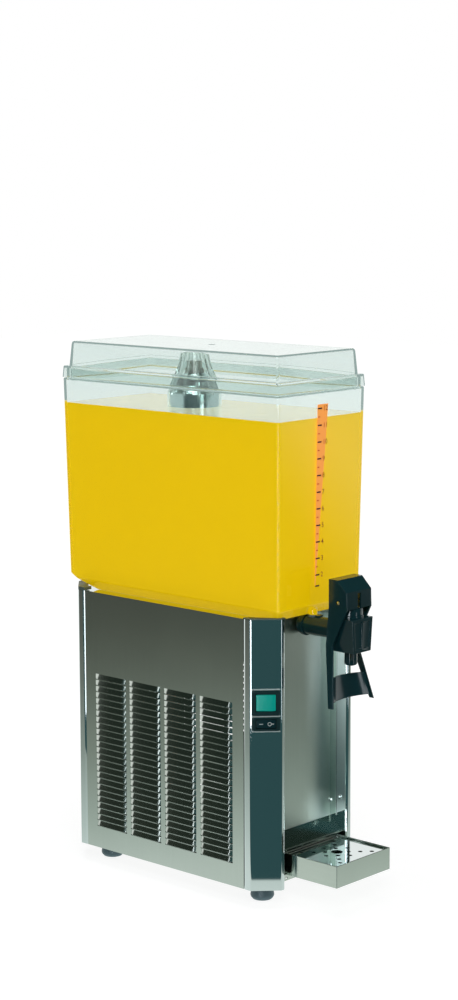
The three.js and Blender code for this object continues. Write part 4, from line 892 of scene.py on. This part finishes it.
# Lid: a domed cover with a shoulder, an outer skirt and an inner skirt.
lid = {"radius": 2.4, "centreY": 0.8, "cornerSteps": 8, "soft": 0.45,
       "flange": [(82.5, 187, 638.5), (81.5, 186, 652.1), (81.0, 185.5, 653.1), (79.9, 184.4, 653.5)],
       "dome": [(75.8, 180.3, 652.2), (73.5, 178.0, 681.2), (73.2, 177.7, 682.7), (72.6, 177.1, 684),
                (71.6, 176.1, 684.8), (70.2, 174.7, 685)],
       "channel": [(80.7, 185.2, 637.5), (79.6, 184.1, 650.3)],
       "inner": [(73.4, 177.9, 634), (73.4, 177.9, 652.2)],
       "hollow": [(71.8, 176.3, 633), (71.8, 176.3, 651.6), (70.4, 174.9, 680.6), (69.9, 174.4, 682),
                  (68.7, 173.2, 682.6)],
       "gate": [(0, -0.5), (3.9, -0.5), (4.6, -0.1), (5, 0.6), (0, 0.6)], "gateY": -2, "top": 685,
       "gateSteps": 32}


def makeLid():
    def tray(name, part, extra=0):
        return stacked(name, lid[part], lid["radius"] + extra, lid["centreY"], lid["cornerSteps"])

    made = tray("lidShell", "flange", 1)
    combine(made, tray("channel", "channel"))
    combine(made, tray("inner skirt", "inner"), "UNION")
    combine(made, tray("dome", "dome"), "UNION")
    combine(made, tray("hollow", "hollow", -1))
    combine(made, turned("gate", lid["gate"], at(0, lid["gateY"], lid["top"]), upward, lid["gateSteps"]))
    softenEdges(made, lid["soft"], angle=40)
    return settleAs(made, "lid")


makeLid()
stage("lid")

# Cold column with its domed top, and the clear ribbed cover over it.
cold = {"profile": [(0, 642), (22.4, 642), (22.4, 632), (30, 617), (30, 360), (31.5, 360), (31.5, 622.4),
                    (31.2, 623.5), (30.4, 624.3), (29.2, 624.8), (27.4, 627.2), (23.9, 632), (18.4, 638.5),
                    (13.2, 644.2), (11.9, 645), (2, 645), (2, 655.6), (1.6, 656), (0, 656)]}
coldColumn = settleAs(turned("coldColumn", cold["profile"], at(0, column["y"], 0)), "evaporator")
coldColumn.data.materials[0] = columnLook
cover = {"outer": [(35, 367.9), (35, 621.2), (34.5, 623.4), (33.4, 625.6), (31.1, 629.5), (28.4, 634),
                   (24.6, 642.5), (20.5, 652), (17.6, 662), (15.5, 672), (14.4, 674.8), (13, 676)],
         "wall": 1.6, "ribs": 10, "ribThick": 1.1, "ribDepth": 4.5,
         "ribOut": [(33.6, 621.5), (30.5, 634), (24, 648), (20.5, 660), (18, 672)]}


def makeCover():
    inner = [(radius - cover["wall"], z) for radius, z in cover["outer"]]
    base = at(0, column["y"], 0)
    made = turned("sprayCover", [*cover["outer"], *inner[::-1], cover["outer"][0]], base)
    inside = [(radius - cover["ribDepth"], z) for radius, z in cover["ribOut"]]
    for step in range(cover["ribs"]):
        turn = math.tau * (step + 0.5) / cover["ribs"]
        out = Vector((math.cos(turn), math.sin(turn), 0))
        across = Vector((-out.y, out.x, 0)) * mm(cover["ribThick"])
        fin = drawPath("rib", [base + out * mm(radius) + upward * mm(z) - across / 2
                               for radius, z in [*cover["ribOut"], *inside[::-1]]])
        bpy.ops.mesh.edge_face_add()
        extrudeBy(across)
        finishMesh(fin)
        combine(made, fin, "UNION")
    return settleAs(made, "spray_cover")


makeCover()
stage("column and cover")

# Tap: a tapered block on a pipe, with a spout, a panelled front and two lugs beside the bowl's stub.
tap = {"y": -231, "halfTop": 20, "halfBottom": 16.5, "halfDepth": 18, "top": 365, "bottom": 323,
       "soft": 1.1, "panelInset": 4.5, "panelEdge": 0.5, "panelDepth": 1, "ribHalf": 0.8, "ribInset": 3,
       "pipeZ": 346.2, "pipeRadius": 12.2, "pipeRear": -153.5, "pipeInset": 8, "spout": 18,
       "spoutRadius": 8, "spoutLip": [(-2.6, 0), (-1, 0.7), (0, 2.4)], "spoutBore": 5, "boreTop": 330,
       "boreSteps": 32, "lug": (4.5, 5), "lugTop": 360, "lugBottom": 351, "lugGap": 7,
       "socketGap": 0.3, "socket": (345.5, 361)}


def makeTapBody():
    made = block("tapBody", at(-tap["halfTop"], tap["y"] - tap["halfDepth"], tap["bottom"]),
                 at(tap["halfTop"], tap["y"] + tap["halfDepth"], tap["top"]))
    openMesh(made)
    selectFaces(made, lambda face: face.normal.z < -mostly)
    bpy.ops.transform.resize(value=(tap["halfBottom"] / tap["halfTop"], 1, 1),
                             center_override=at(0, tap["y"], tap["bottom"]))
    selectFaces(made, lambda face: face.normal.y < -mostly)
    bpy.ops.mesh.inset(thickness=mm(tap["panelInset"]), depth=0)
    bpy.ops.mesh.inset(thickness=mm(tap["panelEdge"]), depth=-mm(tap["panelDepth"]))
    closeMesh()
    softenEdges(made, tap["soft"], segments=3, angle=50)
    front, inset = tap["y"] - tap["halfDepth"], tap["ribInset"]
    rib = block("rib", at(-tap["ribHalf"], front, tap["bottom"] + inset),
                at(tap["ribHalf"], front + inset, tap["top"] - inset))
    combine(made, rib, "UNION")
    low, high, radius = tap["bottom"] - tap["spout"], tap["bottom"] + past, tap["spoutRadius"]
    lip = [(radius + out, low + rise) for out, rise in tap["spoutLip"]]
    spout = turned("spout", [(0, low), *lip, (radius, high), (0, high)], at(0, tap["y"], 0))
    combine(made, spout, "UNION")
    start, end = tap["y"] + tap["pipeInset"], tap["pipeRear"]
    pipe = turned("pipe", [(0, start), (tap["pipeRadius"], start), (tap["pipeRadius"], end), (0, end)],
                  at(0, 0, tap["pipeZ"]), alongY)
    combine(made, pipe, "UNION")
    halfX, halfY = tap["lug"][0], tap["lug"][1] / 2
    for way in (-1, 1):
        y = stub + way * (tap["lugGap"] + halfY)
        lug = block("lug", at(-halfX, y - halfY, tap["lugBottom"]), at(halfX, y + halfY, tap["lugTop"]))
        combine(made, lug, "UNION")
    steps = tap["boreSteps"]
    combine(made, rod("spout bore", 0, tap["y"], tap["spoutBore"], low - past, tap["boreTop"], steps))
    combine(made, rod("stub socket", 0, stub, bowl["stubRadius"] + tap["socketGap"], *tap["socket"],
                      steps))
    shadeSmooth()
    keepFlatsFlat(made)
    return settleAs(made, "tap_body")


makeTapBody()

# Lever: the outer front edges of its plates and arms are cut back wide, the other edges a little.
lever = {"wide": 2.1, "soft": 0.5, "outside": 23.5, "shortest": 6, "sideways": 0.8, "forwards": 0.4}


def makeLever():
    made = openCopy("tap_lever", "tapLever")

    def isOuterFront(edge):
        outside = all(abs(vertex.co.x) >= mm(lever["outside"]) for vertex in edge.verts)
        if len(edge.link_faces) != 2 or not outside:
            return False
        first, second = (face.normal for face in edge.link_faces)
        side = max(abs(first.x), abs(second.x)) > lever["sideways"]
        front = min(first.y, second.y) < -lever["forwards"]
        return side and front and edge.calc_length() > mm(lever["shortest"])

    selectEdges(made, isOuterFront)
    bpy.ops.mesh.bevel(offset=mm(lever["wide"]), segments=3, affect="EDGES", clamp_overlap=False)
    closeMesh()
    softenEdges(made, lever["soft"])
    return settleAs(made, "tap_lever")


makeLever()

# The collar's ring on the pipe and the bonnet over the plunger.
collar = {"profile": [(0, -153), (11.6, -153), (11.6, -157.4), (13.4, -157.4), (13.9, -158),
                      (13.9, -162.2), (13.4, -162.8), (0, -162.8)]}
settleAs(turned("tapCollar", collar["profile"], at(0, 0, tap["pipeZ"]), alongY), "tap_collar")
bonnet = {"profile": [(4.2, 377), (4.2, 374.5), (8.5, 374.5), (8.5, 365), (15.5, 365), (15.5, 367.4),
                      (15.1, 368), (14.6, 368.3), (14.6, 375.8), (14.2, 376.6), (13.4, 377), (4.2, 377)]}
settleAs(turned("tapBonnet", bonnet["profile"], at(0, tap["y"], 0)), "tap_bonnet")
stage("tap")

# Stage: a floor that is white to the eye, with the object's faint shadow, and a room for the metal to
# reflect. In it the floor is pale near the object, ends in front of it and runs white into the backdrop.
room = {"behind": (0.739, 0.674, 0), "front": (-0.68, -0.73, 0)}
floorTones = {"near": [(0.05, (222, 232, 228)), (0.14, (190, 202, 196)), (0.3, (144, 154, 146)),
                       (0.5, (112, 118, 110)), (0.68, (90, 94, 86)), (1.0, (74, 76, 70))], "reach": 2.5,
              "front": (48, 78, 80), "frontSpan": (0.256, 0.268), "behind": (240, 244, 240),
              "behindSpan": (0.15, 0.5), "glowSpan": (0.3, 0.9), "glow": 0.88,
              "matt": (0.26, 0.26, 0.26, 1), "size": 14}


def makeRamp(tree, source, tones):
    ramp = tree.nodes.new("ShaderNodeValToRGB")
    ramp.color_ramp.interpolation = "LINEAR"
    elements = ramp.color_ramp.elements
    elements[0].position, elements[0].color = tones[0][0], srgb(*tones[0][1])
    elements[1].position, elements[1].color = tones[-1][0], srgb(*tones[-1][1])
    for position, tone in tones[1:-1]:
        elements.new(position).color = srgb(*tone)
    tree.links.new(source, ramp.inputs["Fac"])
    return ramp.outputs["Color"]


def measure(tree, source, direction):
    product = tree.nodes.new("ShaderNodeVectorMath")
    product.operation = "DOT_PRODUCT"
    product.inputs[1].default_value = direction
    tree.links.new(source, product.inputs[0])
    return product.outputs["Value"]


def between(tree, value, low, high):
    spread = tree.nodes.new("ShaderNodeMapRange")
    spread.interpolation_type = "SMOOTHSTEP"
    spread.inputs["From Min"].default_value = low
    spread.inputs["From Max"].default_value = high
    tree.links.new(value, spread.inputs["Value"])
    return spread.outputs["Result"]


def facing(tree, source, direction, span):
    return between(tree, measure(tree, source, direction), *span)


def blendColors(tree, share, first, second):
    mix = tree.nodes.new("ShaderNodeMix")
    mix.data_type = "RGBA"
    for label, value in (("Factor", share), ("A", first), ("B", second)):
        feed(tree, mix.inputs[label], value)
    return mix.outputs["Result"]


def lightPart(tree, kind, color, strength=None):
    made = tree.nodes.new(kind)
    feed(tree, made.inputs["Color"], color)
    if strength is not None:
        feed(tree, made.inputs["Strength"], strength)
    return made.outputs[0]


def chooseShader(tree, share, first, second):
    mix = tree.nodes.new("ShaderNodeMixShader")
    for socket, value in zip(mix.inputs, (share, first, second)):
        tree.links.new(value, socket)
    return mix.outputs[0]


white = (1, 1, 1, 1)
deselectAll()
bpy.ops.mesh.primitive_plane_add(size=floorTones["size"], location=(0, 0, 0))
floor = bpy.context.object
floor.name = "floor"
floorLook = bpy.data.materials.new("pale floor")
floorLook.use_nodes = True
tree = floorLook.node_tree
tree.nodes.clear()
output = tree.nodes.new("ShaderNodeOutputMaterial")
path = tree.nodes.new("ShaderNodeLightPath")
place = tree.nodes.new("ShaderNodeTexCoord").outputs["Object"]
length = tree.nodes.new("ShaderNodeVectorMath")
length.operation = "LENGTH"
tree.links.new(place, length.inputs[0])
reach = addMath(tree, "DIVIDE", length.outputs["Value"], floorTones["reach"])
tones = makeRamp(tree, reach, floorTones["near"])
for way in ("front", "behind"):
    share = facing(tree, place, room[way], floorTones[way + "Span"])
    tones = blendColors(tree, share, tones, srgb(*floorTones[way]))
paper = lightPart(tree, "ShaderNodeEmission", tones, 1)
farShare = between(tree, length.outputs["Value"], *floorTones["glowSpan"])
strength = addMath(tree, "MULTIPLY_ADD", farShare, 1 - floorTones["glow"], floorTones["glow"])
glow = lightPart(tree, "ShaderNodeEmission", white, strength)
matt = lightPart(tree, "ShaderNodeBsdfDiffuse", floorTones["matt"])
both = tree.nodes.new("ShaderNodeAddShader")
tree.links.new(glow, both.inputs[0])
tree.links.new(matt, both.inputs[1])
seen = addMath(tree, "MAXIMUM", path.outputs["Is Camera Ray"], path.outputs["Is Transmission Ray"])
tree.links.new(chooseShader(tree, seen, paper, both.outputs[0]), output.inputs["Surface"])
floor.data.materials.append(floorLook)

# The room: each span says between which measures of the looking direction a tone comes in.
skyTones = {"plain": [(0.0, (70, 72, 62)), (0.45, (34, 44, 38)), (0.8, (40, 50, 46))],
            "front": (56, 84, 86), "frontSpan": (0.2, 0.6), "backdrop": (246, 248, 246),
            "sideSpan": (0.1, 0.3), "lowSpan": (0.5, 0.32),
            "clear": [(0.0, (255, 255, 255)), (0.4, (255, 255, 255)), (0.6, (120, 130, 124))],
            "nearSpan": (0.45, 0.7)}
world = bpy.data.worlds.new("studio")
bpy.context.scene.world = world
world.use_nodes = True
tree = world.node_tree
tree.nodes.clear()
output = tree.nodes.new("ShaderNodeOutputWorld")
path = tree.nodes.new("ShaderNodeLightPath")
look = tree.nodes.new("ShaderNodeTexCoord").outputs["Generated"]
height = measure(tree, look, (0, 0, 1))
tones = makeRamp(tree, height, skyTones["plain"])
frontShare = facing(tree, look, room["front"], skyTones["frontSpan"])
tones = blendColors(tree, frontShare, tones, srgb(*skyTones["front"]))
sideShare = facing(tree, look, room["behind"], skyTones["sideSpan"])
lowShare = between(tree, height, *skyTones["lowSpan"])
tones = blendColors(tree, addMath(tree, "MULTIPLY", sideShare, lowShare), tones,
                    srgb(*skyTones["backdrop"]))
around = lightPart(tree, "ShaderNodeBackground", tones, 1)
clear = makeRamp(tree, height, skyTones["clear"])
nearShare = facing(tree, look, room["front"], skyTones["nearSpan"])
clear = blendColors(tree, nearShare, clear, srgb(*skyTones["front"]))
through = lightPart(tree, "ShaderNodeBackground", clear, 1)
seen = lightPart(tree, "ShaderNodeBackground", white, 1)
mixed = chooseShader(tree, path.outputs["Is Transmission Ray"], around, through)
tree.links.new(chooseShader(tree, path.outputs["Is Camera Ray"], mixed, seen), output.inputs["Surface"])


def softbox(name, place, target, width, height, power, tint=(1, 1, 1)):
    deselectAll()
    bpy.ops.object.light_add(type="AREA", location=place)
    made = bpy.context.object
    made.name = name
    made.data.shape = "RECTANGLE"
    made.data.size = width
    made.data.size_y = height
    made.data.energy = power
    made.data.color = tint
    made.visible_camera = False
    made.rotation_euler = (Vector(target) - Vector(place)).to_track_quat("-Z", "Y").to_euler()
    return made


# Boxes light the object without showing in the metal: each has its place, size and power.
boxes = {"keyBox": ((-2.2, -2.0, 2.4), 1.2, 32), "frontBox": ((-0.6, -2.6, 1.2), 0.8, 6),
         "topBox": ((-0.2, 0.1, 2.6), 1.2, 20)}
lookAt = (0, 0, 0.35)
for name, (place, size, power) in boxes.items():
    softbox(name, place, lookAt, size, size, power).visible_glossy = False

# Strips that only gleam, at the left and in front, for the folds and the tap.
strips = {"leftStrip": ((-0.85, -0.52, 0.31), 0.26, 0.6, 4.2),
          "rearStrip": ((-0.85, 0.24, 0.31), 0.05, 0.6, 0.2),
          "frontStrip": ((0.02, -1.05, 0.2), 0.11, 0.38, 0.4)}
coolTint = (0.9, 0.95, 1)
for name, (place, width, height, power) in strips.items():
    strip = softbox(name, place, (0, 0, place[2]), width, height, power, coolTint)
    strip.visible_diffuse = False
    strip.visible_transmission = False

# The camera at the photo's angle: its focal length and frame height are in pixels.
camera = {"place": (-2.05227, -1.86897, 0.90794), "heading": 47.675, "pitch": 8.582, "roll": 0.202,
          "focal": 2211.4, "frameHeight": 1000, "sensor": 36}
bpy.ops.object.camera_add(location=camera["place"])
eye = bpy.context.object
eye.name = "photoCamera"
eye.rotation_euler = (math.radians(90 - camera["pitch"]), math.radians(camera["roll"]),
                      -math.radians(camera["heading"]))
eye.data.sensor_fit = "AUTO"
eye.data.sensor_width = camera["sensor"]
eye.data.lens = camera["focal"] / camera["frameHeight"] * camera["sensor"]
bpy.context.scene.camera = eye
bpy.context.scene.view_settings.view_transform = "Standard"
stage("stage and camera")
